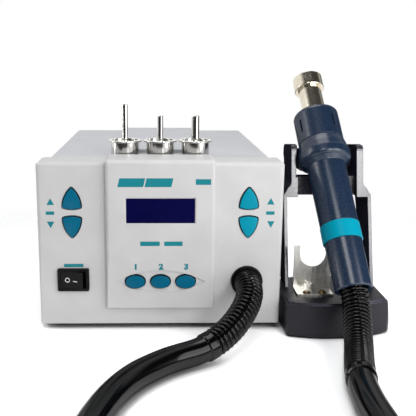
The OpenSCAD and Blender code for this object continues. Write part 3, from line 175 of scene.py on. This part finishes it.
def moulded(
    name, code, rough, grain_mm, depth_mm,
    wear_and_highlight_colour="#ffffff", wear_and_highlight=0.1, shine=0.5, flank=1.0, edge_mm=0.4, painted_shade_y=None,
):
    """A moulding: cloudy shade, grain that also varies the gloss, and paler, smoother edges, from rubbing and
    on some pieces a painted highlight.

    The grain is about grain_mm wide and depth_mm deep, the edge colour is that of the paler edges, rubbed and
    on some pieces a painted highlight, and flank is how much of the shine is left where the surface is seen
    at a flat angle. Behind a given depth, and at the very edge, a key's colour goes near black: painted shade
    in the gap round it.
    """
    cloud_mm, sharp_edge, painted_shade_black = 26, 0.86, "#05080a"
    material = bpy.data.materials.new(name)
    material.use_nodes = True
    tree = material.node_tree
    tree.nodes.clear()
    where = add(tree, "TexCoord").outputs["Object"]
    cloud_size = {"Vector": where, "Scale": 1000 / cloud_mm, "Detail": 4}
    clouds = add(tree, "TexNoise", {}, cloud_size).outputs["Fac"]
    grain = add(tree, "TexNoise", {}, {"Vector": where, "Scale": 1000 / grain_mm, "Detail": 3}).outputs["Fac"]

    cloudiness = {"Value": clouds, "From Min": 0.3, "From Max": 0.7, "To Min": 0.955, "To Max": 1.045}
    shade = add(tree, "MapRange", {}, cloudiness).outputs[0]
    cloudy = add(tree, "HueSaturation", {}, {"Color": linear(code), "Value": shade}).outputs[0]

    softened = add(tree, "Bevel", {"samples": 4}, {"Radius": edge_mm / 1000}).outputs[0]
    flat = add(tree, "NewGeometry").outputs["Normal"]
    dot = {"operation": "DOT_PRODUCT"}
    likeness = add(tree, "VectorMath", dot, {0: softened, 1: flat}).outputs["Value"]
    # Edges are paler by the given amount: rubbed, and on the keys and the stand a painted highlight.
    wear_and_highlight_patching = {"Value": clouds, "From Min": 0.35, "From Max": 0.65, "To Max": wear_and_highlight}
    wear_and_highlight_patches = add(tree, "MapRange", {}, wear_and_highlight_patching).outputs[0]
    at_edge = {"Value": likeness, "From Min": 0.995, "From Max": sharp_edge, "To Max": wear_and_highlight_patches}
    edge = add(tree, "MapRange", {}, at_edge).outputs[0]
    colour = add(tree, "Mix", {"data_type": "RGBA"}, {0: edge, 6: cloudy, 7: linear(wear_and_highlight_colour)}).outputs[2]
    # Behind the given depth and at the outermost edge the colour goes near black: painted shade in the gap
    # round a key.
    if painted_shade_y is not None:
        depth = add(tree, "SeparateXYZ", {}, {0: where}).outputs["Y"]
        behind = add(tree, "Math", {"operation": "GREATER_THAN"}, {0: depth, 1: painted_shade_y}).outputs[0]
        outermost = add(tree, "Math", {"operation": "LESS_THAN"}, {0: likeness, 1: sharp_edge}).outputs[0]
        painted_shade = add(tree, "Math", {"operation": "MAXIMUM"}, {0: behind, 1: outermost}).outputs[0]
        shade_mix = {0: painted_shade, 6: colour, 7: linear(painted_shade_black)}
        colour = add(tree, "Mix", {"data_type": "RGBA"}, shade_mix).outputs[2]

    duller, glossier = rough + 0.06, rough - 0.06
    spread = {"Value": grain, "From Min": 0.3, "From Max": 0.7, "To Min": glossier, "To Max": duller}
    mottled = add(tree, "MapRange", {}, spread).outputs[0]
    polishing = {"Value": edge, "To Min": mottled, "To Max": rough * 0.6}
    gloss = add(tree, "MapRange", {}, polishing).outputs[0]
    bumps = {"Height": grain, "Distance": depth_mm / 1000, "Strength": 1.0, "Normal": softened}
    relief = add(tree, "Bump", {}, bumps).outputs[0]
    facing = add(tree, "LayerWeight", {}, {"Blend": 0.5}).outputs["Facing"]
    falling = {"Value": facing, "From Min": 0.3, "From Max": 0.7, "To Min": shine, "To Max": shine * flank}
    sheen = add(tree, "MapRange", {}, falling).outputs[0]
    looks = {"Base Color": colour, "Roughness": gloss, "Normal": relief, "Specular IOR Level": sheen}
    surface = add(tree, "BsdfPrincipled", {}, looks).outputs[0]
    add(tree, "OutputMaterial", {}, {"Surface": surface})
    return material


def mesh_piece(name, points, faces, material, body="cabinet_and_stand", smooth=False):
    """A separate mesh made of points in the row frame, riding on a body."""
    mesh = bpy.data.meshes.new(name)
    mesh.from_pydata([tuple(p) for p in points], [], faces)
    mesh.materials.append(material)
    for face in mesh.polygons:
        face.use_smooth = smooth
    piece = bpy.data.objects.new(name, mesh)
    scene.collection.objects.link(piece)
    if body:
        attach(piece, body)
    return piece


# Black rubber with a waxy skin: it stays dark, with thin highlights along its top and
# on its ribs.
hose_rubber = moulded(
    "rubber_black", "#020203", 0.13, grain_mm=0.9, depth_mm=0.003,
    wear_and_highlight_colour="#141416", wear_and_highlight=0.3, shine=0.26, flank=0.05,
)
boot_left, boot_right, boot_radius, hose_radius = 82, 96, 10.2, 9.2
rib_pitch, groove_depth = 3.6, 2.1
plain_tip, plain_back, fade_in = 1.5, 5, 2
line_step, loose_step, boot_margin, hose_sides = 0.42, 3.5, 2, 20


def boot_profile(run, length):
    """Radius along a ribbed boot: round ribs with narrow grooves, plain at its two ends."""
    groove = (0.5 - 0.5 * np.cos(2 * math.pi * run / rib_pitch)) ** 3
    ribbed = np.clip((length - plain_back - run) / fade_in, 0, 1) * np.clip((run - plain_tip) / fade_in, 0, 1)
    return boot_radius - groove_depth * groove * ribbed


hose_line = smooth_line(from_socket + turns + to_handle, line_step)
hose_run = np.concatenate([[0], np.cumsum(np.linalg.norm(np.diff(hose_line, axis=0), axis=1))])
hose_long = hose_run[-1]
hose_radii = np.full(len(hose_line), float(hose_radius))
near_left, near_right = hose_run < boot_left, hose_long - hose_run < boot_right
hose_radii[near_left] = boot_profile(hose_run, boot_left)[near_left]
hose_radii[near_right] = boot_profile(hose_long - hose_run, boot_right)[near_right]
kept, last_kept = [0], 0.0
for i, run in enumerate(hose_run):
    on_boot = run < boot_left + boot_margin or hose_long - run < boot_right + boot_margin
    if on_boot or run - last_kept >= loose_step:
        kept.append(i)
        last_kept = run
kept = sorted(set(kept + [len(hose_line) - 1]))
hose_path = np.array([place(*p) for p in hose_line[kept]])
hose_points, hose_faces = swept(hose_path, hose_radii[kept] / 1000, hose_sides)
hose = mesh_piece("hose", hose_points, hose_faces, hose_rubber, body=None, smooth=True)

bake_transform(hose)
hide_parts("hose_left", "hose_coil", "hose_right")

# Front moulding
# The cabinet's face, moulded in one piece of ABS with its raised middle panel. It
# closes the case in front, and the base plate is screwed to it from below.


def dress(material, *names):
    """Gives CAD nodes their material."""
    for name in names:
        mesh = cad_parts[name].data
        mesh.materials.clear()
        mesh.materials.append(material)


# Light grey with a fine eroded texture: matt, and a little paler where its edges are rubbed.
abs_light_grey = moulded(
    "abs_light_grey", "#cecdcd", 0.5, grain_mm=0.5, depth_mm=0.007,
    wear_and_highlight_colour="#f2f1ee", wear_and_highlight=0.15, shine=0.4, edge_mm=0.2,
)
dress(abs_light_grey, "front_bezel")

# Case
# Cover, base plate and rear panel are punched and folded from steel sheet, powder
# coated, and screwed together.

# A smooth grey coat, which shows faint orange peel and has worn a little at the folds.
powder_coat = moulded(
    "powder_coat_grey", "#bfc1c5", 0.4, grain_mm=2.2, depth_mm=0.012, wear_and_highlight_colour="#e3e4e6", wear_and_highlight=0.35, shine=0.4
)
dress(powder_coat, "top_cover", "base_plate", "rear_panel")

# Feet, pads and air duct
# Moulded in black rubber. The feet and pads are set under the cabinet and the stand,
# and the duct joins the blower's mouth to the hose socket.

# Matt, and dusty in its grain.
rubber_matt = moulded("rubber_matt", "#111113", 0.62, grain_mm=0.7, depth_mm=0.03, wear_and_highlight_colour="#4a4a4a", wear_and_highlight=0.3)
dress(rubber_matt, "rubber_feet", "stand_pads", "air_duct")

# Display
# A liquid crystal display behind a clear window that is set into the raised panel. It
# is off, so it shows only its own blue.

# A clear sheet over dark blue: even, very dark, and with hardly any shine.
display_blue = moulded("display_blue", "#04043c", 0.22, grain_mm=1.1, depth_mm=0.001, wear_and_highlight=0, shine=0.05)
dress(display_blue, "lcd_window")

# Keys
# Moulded keys with teal domed faces. Behind the face and at its very edge each key is coloured near black,
# painted shade in the gap round it. They stand in openings of the front.
# Behind these depths the keys are coloured near black: painted shade.
arrow_shade_from, channel_shade_from = -0.5, -panel_proud + 0.2
arrow_shade_y, channel_shade_y = place(0, arrow_shade_from, 0).y, place(0, channel_shade_from, 0).y

# A satin lacquer, much paler at its edges: a painted highlight on the bevels. The right pair is a paler copy
# of the same teal, painted light where the lamps at the right fall on it.
lacquer_look = dict(rough=0.3, grain_mm=0.7, depth_mm=0.02, wear_and_highlight=0.9, shine=0.15, edge_mm=1.5)
teal_lacquer = moulded("teal_lacquer", "#006584", wear_and_highlight_colour="#2cc0d8", painted_shade_y=arrow_shade_y, **lacquer_look)
dress(teal_lacquer, "temp_up_key", "temp_down_key")
teal_painted_lit = moulded("teal_lacquer_painted_lit", "#0091aa", wear_and_highlight_colour="#5adcee", painted_shade_y=arrow_shade_y, **lacquer_look)
dress(teal_painted_lit, "air_up_key", "air_down_key")
low_lacquer = moulded("teal_lacquer_low", "#006282", wear_and_highlight_colour="#2cc0d8", painted_shade_y=channel_shade_y, **lacquer_look)
dress(low_lacquer, "channel_key_1", "channel_key_2", "channel_key_3")

# Printed marks on the front
# Screen printed on the front: triangles beside the arrow keys, numbers over the
# channel keys, and plain bars.

# Teal ink, flat and even, which dries with a low sheen.
screen_print = moulded("screen_print_teal", "#06818c", 0.45, grain_mm=0.5, depth_mm=0.004, wear_and_highlight=0, shine=0.3)
ink, face_y, panel_y = 0.06, 0, -panel_proud


def printed(name, outline, y):
    """A flat printed shape: its outline in x and z, just before the face at y."""
    points = [place(x, y - ink, z) for x, z in outline]
    return mesh_piece(name, points, [tuple(range(len(points)))], screen_print)


triangle_w, triangle_h = 5.7, 5.2
for name, x, z, points_up in (
    ("temp_up", -83, 99.9, True),
    ("temp_down", -83.3, 87, False),
    ("air_up", 83.6, 100.2, True),
    ("air_down", 84.2, 87.2, False),
):
    tip_z = z + triangle_h if points_up else z - triangle_h
    printed("mark_" + name, [(x - triangle_w / 2, z), (x + triangle_w / 2, z), (x, tip_z)], face_y)


def bar(name, x0, x1, z0, z1, slant=0, y=panel_y):
    """A printed bar on the face at y, its ends slanted by so many millimetres."""
    printed(name, [(x0, z0), (x1 - slant, z0), (x1, z1), (x0 + slant, z1)], y)


bar("mark_bar_left", -32.2, -11.4, 114.6, 121.2, slant=1.6)
bar("mark_bar_right", -12, 9.6, 114.6, 121.2, slant=1.6)
bar("mark_small_bar", 26.2, 37.6, 116.3, 120.6)
bar("mark_low_bar_left", -15.4, -0.6, 69.2, 72.6)
bar("mark_low_bar_right", 2.8, 16.8, 69.2, 72.6)
bar("mark_bar_left_side", -86.7, -80.3, 92.3, 94.9, y=face_y)
bar("mark_bar_right_side", 80.3, 86.7, 92.3, 94.9, y=face_y)
bar("mark_bar_power_side", -74, -59.2, 51.1, 53.6, y=face_y)
crease_z, panel_bottom, rake = 61.5, 18.5, 1.2
number_z, channel_pitch, numbers_right = 52.6, 19.3, 0.4
digit_height, size_per_height, digit_bold, digit_proud = 4.7, 1.38, 0.4, 0.01
number_y = panel_y + rake * (crease_z - number_z) / (crease_z - panel_bottom)
for i, digit in enumerate("123"):
    curve = bpy.data.curves.new("number_" + digit, "FONT")
    curve.body = digit
    curve.size = digit_height * size_per_height / 1000
    curve.align_x = "CENTER"
    curve.align_y = "CENTER"
    curve.extrude = digit_proud / 1000
    curve.offset = digit_bold / 1000
    curve.materials.append(screen_print)
    number = bpy.data.objects.new("mark_number_" + digit, curve)
    number.location = place(channel_pitch * (i - 1) + numbers_right, number_y - ink, number_z)
    number.rotation_euler = (math.radians(90), 0, 0)
    scene.collection.objects.link(number)
    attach(number, "cabinet_and_stand")

# Power switch and hose socket
# Moulded in black nylon. The switch's frame clips into the front, and its rocker turns
# in the frame and carries printed ON and OFF marks.

# A low sheen over a fine grain, which dies away at the flanks.
nylon_black = moulded(
    "nylon_black", "#060608", 0.34, grain_mm=0.6, depth_mm=0.01,
    wear_and_highlight_colour="#3c3c42", wear_and_highlight=0.3, shine=0.14, flank=0.2, edge_mm=0.25,
)
dress(nylon_black, "switch_housing", "hose_socket", "lcd_module", "key_switches")

# The rocker is moulded in a polished tool, so that it mirrors a little of the room.
polished_black = moulded(
    "polished_black", "#08080a", 0.2, grain_mm=1.4, depth_mm=0.002, wear_and_highlight_colour="#45454a", wear_and_highlight=0.4, shine=0.13
)
dress(polished_black, "power_rocker")

# White ink from a pad, matt and even.
white_print = moulded("pad_print_white", "#e4e4e4", 0.5, grain_mm=0.5, depth_mm=0.004, wear_and_highlight=0)
pivot = Vector((-67.1, 3.4, 40.9))
rocker_half, rocker_flat, rocker_face, rocker_end, rocker_turn = 8.75, 3.94, -5.2, -6.1, math.radians(-9)


def on_rocker(x, z):
    """The point of the row frame just before the rocker's bent face."""
    bent = max(0, abs(x) - rocker_flat) / (rocker_half - rocker_flat)
    y = rocker_face + (rocker_end - rocker_face) * bent - ink
    turned = Vector((x, y, z)) @ Matrix.Rotation(-rocker_turn, 3, "Z")
    return place(*(pivot + turned))


ring_x, ring_r, ring_w, ring_sides = -3.7, 1.9, 0.6, 32
ring_points = [
    on_rocker(ring_x + r * math.cos(a), r * math.sin(a))
    for a in np.arange(ring_sides) * 2 * math.pi / ring_sides
    for r in (ring_r, ring_r - ring_w)
]
ring_faces = [
    tuple(k % (2 * ring_sides) for k in (2 * i, 2 * i + 2, 2 * i + 3, 2 * i + 1)) for i in range(ring_sides)
]
mesh_piece("rocker_mark_off", ring_points, ring_faces, white_print, body="power_rocker")
dash = [on_rocker(x, z) for x, z in ((0.5, -1.1), (3.9, -1.5), (3.9, -0.8), (0.5, -0.4))]
mesh_piece("rocker_mark_on", dash, [(0, 1, 2, 3)], white_print, body="power_rocker")

# Mains inlet and blower
# The inlet's shroud, its fuse drawer and the blower are moulded in black nylon too.
# The inlet is screwed to the rear panel, and its pins are turned brass.
dress(nylon_black, "inlet_socket", "fuse_drawer", "blower_housing", "blower_cover", "blower_impeller")


def bare_metal(
    name, code, rough, line_mm, depth_mm, across=(1, 1, 1), tarnish="#6c6a66", stain=0.15, edge_mm=0.25
):
    """Bare metal: fine tool lines that vary its gloss, faint stains, and softened edges.

    The lines are about line_mm wide and depth_mm deep, and are drawn out where across is small.
    """
    stain_mm = 7
    material = bpy.data.materials.new(name)
    material.use_nodes = True
    tree = material.node_tree
    tree.nodes.clear()
    where = add(tree, "TexCoord").outputs["Object"]
    stretch = [1000 / line_mm * s for s in across]
    drawn = add(tree, "Mapping", {}, {"Vector": where, "Scale": stretch}).outputs[0]
    lines = add(tree, "TexNoise", {}, {"Vector": drawn, "Scale": 1.0, "Detail": 3}).outputs["Fac"]
    cloud_size = {"Vector": where, "Scale": 1000 / stain_mm, "Detail": 4}
    clouds = add(tree, "TexNoise", {}, cloud_size).outputs["Fac"]
    staining = {"Value": clouds, "From Min": 0.45, "From Max": 0.75, "To Max": stain}
    stains = add(tree, "MapRange", {}, staining).outputs[0]
    tints = {0: stains, 6: linear(code), 7: linear(tarnish)}
    colour = add(tree, "Mix", {"data_type": "RGBA"}, tints).outputs[2]
    spread = {"Value": lines, "From Min": 0.3, "From Max": 0.7, "To Min": rough * 0.7, "To Max": rough * 1.3}
    gloss = add(tree, "MapRange", {}, spread).outputs[0]
    softened = add(tree, "Bevel", {"samples": 4}, {"Radius": edge_mm / 1000}).outputs[0]
    grooves = {"Height": lines, "Distance": depth_mm / 1000, "Strength": 1.0, "Normal": softened}
    relief = add(tree, "Bump", {}, grooves).outputs[0]
    looks = {"Base Color": colour, "Metallic": 1.0, "Roughness": gloss, "Normal": relief}
    surface = add(tree, "BsdfPrincipled", {}, looks).outputs[0]
    add(tree, "OutputMaterial", {}, {"Surface": surface})
    return material


# Turned brass, browned where it was handled. The board's spacers are of the same.
turned_brass = bare_metal(
    "turned_brass", "#b98f45", 0.25, line_mm=0.4, depth_mm=0.003, tarnish="#6e5426", stain=0.4
)
dress(turned_brass, "inlet_pins", "board_spacers")

# Pressed steel with a dull zinc plating.
plated_steel = bare_metal("zinc_plated_steel", "#c5c6c8", 0.28, line_mm=0.5, depth_mm=0.004, stain=0.3)
dress(plated_steel, "blower_motor")

# Boards, transformer and heat sink
# The display board is screwed on behind the front, and the rest stands on the base
# plate, where it can be seen only through the vents.

# Glass fibre laminate under a green solder mask, which shines a little.
laminate = moulded("solder_mask_green", "#2c6a44", 0.35, grain_mm=0.8, depth_mm=0.02)
dress(laminate, "display_board", "main_board")

# A stack of stamped steel sheets, whose edges show as fine lines.
core_steel = bare_metal(
    "laminated_steel", "#77797c", 0.45, line_mm=0.5, depth_mm=0.03, across=(0.05, 1, 0.05), stain=0.5
)
dress(core_steel, "transformer_core")

# Copper wire under a brown lacquer, paler on its crests.
wire_lacquer = moulded(
    "lacquered_winding", "#9c5a26", 0.3, grain_mm=0.5, depth_mm=0.04, wear_and_highlight_colour="#d08b52", wear_and_highlight=0.3
)
dress(wire_lacquer, "transformer_coil")

# Extruded aluminium, with the die's lines along it.
aluminium = bare_metal("extruded_aluminium", "#b4b7b9", 0.35, line_mm=0.4, depth_mm=0.01, across=(1, 1, 0.04))
dress(aluminium, "heat_sink")

# Shrunk vinyl sleeve, smooth and blue.
sleeve = moulded("shrink_sleeve_blue", "#222f62", 0.3, grain_mm=0.8, depth_mm=0.01)
dress(sleeve, "capacitors")

# Nozzles, pegs and screws
# Each nozzle is a cup pressed from stainless sheet, with a rolled rim and a tube, and
# stands on a turned peg that a nut holds inside the cover.

# Spun bright, with faint rings round each cup and tube. The handle's sensor has the same sheath.
spun_steel = bare_metal(
    "spun_stainless", "#d3d2ce", 0.12, line_mm=0.3, depth_mm=0.0001, across=(0.03, 0.03, 1), stain=0.1
)
dress(spun_steel, "nozzle_pegs", "nozzle_small", "nozzle_medium", "nozzle_large", "air_sensor")
dress(plated_steel, "cover_screws", "front_screws", "frame_screws")

# Stand
# The base and the frame are moulded in charcoal ABS and screwed together, over a
# steel floor plate that gives the stand its weight.
dress(core_steel, "stand_floor_plate")

# Nearly black, with a satin face. Its long edges are coloured paler, a painted highlight where a lamp grazes
# them.
abs_charcoal = moulded(
    "abs_charcoal", "#12111a", 0.4, grain_mm=0.6, depth_mm=0.008,
    wear_and_highlight_colour="#77778a", wear_and_highlight=0.9, shine=0.3, flank=0.4, edge_mm=1.0,
)
dress(abs_charcoal, "stand_base")

# The frame's tool was polished more, so that a lamp draws a soft streak on its legs. Its edges are coloured
# paler too, a painted highlight.
satin_charcoal = moulded(
    "abs_charcoal_satin", "#2c2c37", 0.27, grain_mm=0.6, depth_mm=0.005,
    wear_and_highlight_colour="#8a8a9a", wear_and_highlight=0.6, shine=1.0, flank=0.0, edge_mm=0.6,
)
dress(satin_charcoal, "stand_frame")

# Nozzle puller
# Cut and bent from stainless sheet, and held on the base by two screws of browned
# steel.

# Brushed upright, so that its shine spreads sideways.
brushed_sheet = bare_metal(
    "brushed_stainless", "#d2d0ca", 0.34, line_mm=0.35, depth_mm=0.0012, across=(1, 1, 0.04), stain=0.2
)
dress(brushed_sheet, "nozzle_puller")

# Browned in hot oil: dark, with a warm shine.
browned_steel = bare_metal("browned_steel", "#6b5434", 0.24, line_mm=0.4, depth_mm=0.004, stain=0.4)
dress(browned_steel, "puller_screws")

# Handle
# Tail, body and head are shells moulded in ABS, with a coloured ring between the tail
# and the body.

# Navy with a satin face: long soft highlights, and flanks that stay dark.
abs_navy = moulded(
    "abs_navy", "#16283f", 0.26, grain_mm=0.6, depth_mm=0.004,
    wear_and_highlight_colour="#4f6580", wear_and_highlight=0.5, shine=0.6, flank=0.06, edge_mm=0.8,
)
dress(abs_navy, "handle_tail", "handle_body", "handle_head")

# Turquoise, coloured through: even, and nearly without shine.
abs_turquoise = moulded(
    "abs_turquoise", "#0093ac", 0.34, grain_mm=0.6, depth_mm=0.006, wear_and_highlight_colour="#5fcfe0", wear_and_highlight=0.3, shine=0.07
)
dress(abs_turquoise, "handle_ring")

# Heater
# A steel tube, which the head holds by its flange and which carries the collar for the
# nozzles, round a ceramic core wound with resistance wire.

# Polished steel, tinted straw by the heat.
heated_steel = bare_metal(
    "heat_tinted_steel", "#e4dccb", 0.14, line_mm=0.8, depth_mm=0.001,
    across=(0.3, 0.3, 1), tarnish="#a08c64", stain=0.3,
)
dress(heated_steel, "heater_tube", "nozzle_collar")

# Chalky and matt, with a coarse bite.
fired_ceramic = moulded("fired_ceramic", "#e6e0d3", 0.7, grain_mm=0.4, depth_mm=0.03, wear_and_highlight=0)
dress(fired_ceramic, "heater_core")

# Resistance wire, grey and dull from its own heat.
heating_wire = bare_metal("oxidised_wire", "#807d79", 0.45, line_mm=0.2, depth_mm=0.004, stain=0.5)
dress(heating_wire, "heater_wire")

# Bench
# A white laminate top that fades into the white behind it, so that no edge shows.
# Camera and mirrors see it lifted to white. The object's shadow stays, and close under it ambient occlusion
# darkens the floor's colour, a painted shadow that is deepest in the gap.
smudge_mm, gap_mm, fade_from, fade_to, reach = 60, 14, 420, 620, 650
bench_white = bpy.data.materials.new("bench_white")
bench_white.use_nodes = True
tree = bench_white.node_tree
tree.nodes.clear()
where = add(tree, "TexCoord").outputs["Object"]
from_middle = add(tree, "VectorMath", {"operation": "LENGTH"}, {0: where}).outputs["Value"]
smudges = add(tree, "TexNoise", {}, {"Vector": where, "Scale": 1000 / smudge_mm, "Detail": 3}).outputs["Fac"]
dull = add(tree, "MapRange", {}, {"Value": smudges, "To Min": 0.55, "To Max": 0.7}).outputs[0]
coating = {"Base Color": linear("#f4f4f4"), "Roughness": dull, "Specular IOR Level": 0.2}
laminate_top = add(tree, "BsdfPrincipled", {}, coating).outputs[0]
# Ambient occlusion darkens the lifted colour close under the object: a painted shadow.
open_sky = add(tree, "AmbientOcclusion", {"samples": 8}, {"Distance": gap_mm / 1000}).outputs["AO"]
painted_contact_shadow = {"Value": open_sky, "From Min": 0.1, "From Max": 0.6, "To Min": 0.05, "To Max": 1.6}
lift_and_painted_shadow = add(tree, "MapRange", {}, painted_contact_shadow).outputs[0]
lifted = add(tree, "BsdfDiffuse", {}, {"Color": lift_and_painted_shadow}).outputs[0]
rays = add(tree, "LightPath").outputs
direct = {0: rays["Is Camera Ray"], 1: rays["Is Glossy Ray"]}
seen = add(tree, "Math", {"operation": "MAXIMUM"}, direct).outputs[0]
top = add(tree, "MixShader", {}, {0: seen, 1: laminate_top, 2: lifted}).outputs[0]
clear = add(tree, "BsdfTransparent").outputs[0]
fade = {"Value": from_middle, "From Min": fade_from / 1000, "From Max": fade_to / 1000}
faded = add(tree, "MapRange", {"interpolation_type": "SMOOTHSTEP"}, fade).outputs[0]
bench_surface = add(tree, "MixShader", {}, {0: faded, 1: top, 2: clear}).outputs[0]
add(tree, "OutputMaterial", {}, {"Surface": bench_surface})
bench_mesh = bpy.data.meshes.new("bench")
corners = [(x * reach / 1000, y * reach / 1000, 0) for x, y in ((-1, -1), (1, -1), (1, 1), (-1, 1))]
bench_mesh.from_pydata(corners, [], [(0, 1, 2, 3)])
bench_mesh.materials.append(bench_white)
bench = bpy.data.objects.new("bench", bench_mesh)
bench.location = place(30, -110, -0.2)
scene.collection.objects.link(bench)

# Studio
# The camera sees white all round. Polished steel mirrors white screens at the left, at
# the rear and low at the right, with the dark room between them.
world = bpy.data.worlds.new("studio")
scene.world = world
world.use_nodes = True
tree = world.node_tree
tree.nodes.clear()
direction = add(tree, "TexCoord").outputs["Generated"]
split = add(tree, "SeparateXYZ", {}, {0: direction})
forward = add(tree, "Math", {"operation": "MULTIPLY"}, {0: split.outputs["Y"], 1: -1.0}).outputs[0]
bearing = add(tree, "Math", {"operation": "ARCTAN2"}, {0: split.outputs["X"], 1: forward}).outputs[0]
around = add(tree, "MapRange", {}, {"Value": bearing, "From Min": -math.pi, "From Max": math.pi}).outputs[0]

# Each ring of screens lists bearings, 0 towards the camera and 90 to its right, with a brightness.
low_screens = [
    (-180, 1), (-88, 1), (-66, 0.04), (16, 0.04), (30, 1), (80, 1), (94, 0.14), (140, 0.14), (160, 1)
]
high_screens = [(-180, 1), (-95, 1), (-70, 0.06), (110, 0.06), (135, 1)]
rings = []
for stops in (low_screens, high_screens):
    ring = add(tree, "ValToRGB", {}, {"Fac": around})
    elements = ring.color_ramp.elements
    while len(elements) < len(stops):
        elements.new(0.5)
    for element, (degrees, brightness) in zip(elements, stops):
        element.position = degrees / 360 + 0.5
        element.color = (brightness, brightness, brightness, 1)
    rings.append(ring.outputs["Color"])
raised = {"Value": split.outputs["Z"], "From Min": 0.25, "From Max": 0.45}
rise = add(tree, "MapRange", {"interpolation_type": "SMOOTHSTEP"}, raised).outputs[0]
room = add(tree, "Mix", {"data_type": "RGBA"}, {0: rise, 6: rings[0], 7: rings[1]}).outputs[2]
mirrored = add(tree, "Background", {}, {"Color": room, "Strength": 1.0}).outputs[0]
sideways = {"Value": split.outputs["X"], "From Min": -1.0, "From Max": 1.0, "To Min": 0.14, "To Max": 0.34}
level = add(tree, "MapRange", {}, sideways).outputs[0]
soft = add(tree, "Background", {}, {"Color": linear("#f3f4f8"), "Strength": level}).outputs[0]
white = add(tree, "Background", {}, {"Color": linear("#ffffff"), "Strength": 1.0}).outputs[0]
rays = add(tree, "LightPath").outputs
glossy_or_clear = {0: rays["Is Glossy Ray"], 1: rays["Is Transmission Ray"]}
sharp = add(tree, "Math", {"operation": "MAXIMUM"}, glossy_or_clear).outputs[0]
lit = add(tree, "MixShader", {}, {0: sharp, 1: soft, 2: mirrored}).outputs[0]
shown = add(tree, "MixShader", {}, {0: rays["Is Camera Ray"], 1: lit, 2: white}).outputs[0]
add(tree, "OutputWorld", {}, {"Surface": shown})


def soft_box(name, where, aim, size, watts):
    """A studio light with a cloth front, turned towards a point."""
    light = bpy.data.lights.new(name, "AREA")
    light.shape = "RECTANGLE"
    light.size, light.size_y = (side / 1000 for side in size)
    light.energy = watts
    lamp = bpy.data.objects.new(name, light)
    lamp.location = place(*where)
    lamp.rotation_euler = (place(*aim) - lamp.location).to_track_quat("-Z", "Y").to_euler()
    scene.collection.objects.link(lamp)


soft_box("light_front_right", (330, -700, 370), (140, 0, 100), (140, 240), 2.3)
soft_box("light_right", (480, -330, 250), (40, 0, 80), (260, 440), 1.5)
soft_box("light_high", (-90, -560, 800), (120, 0, 70), (300, 300), 1.9)
soft_box("light_top", (20, 180, 900), (20, 140, 130), (500, 500), 2.4)
soft_box("light_left", (-600, 60, 300), (130, 0, 100), (50, 600), 0.9)

scene.view_settings.view_transform = "Standard"
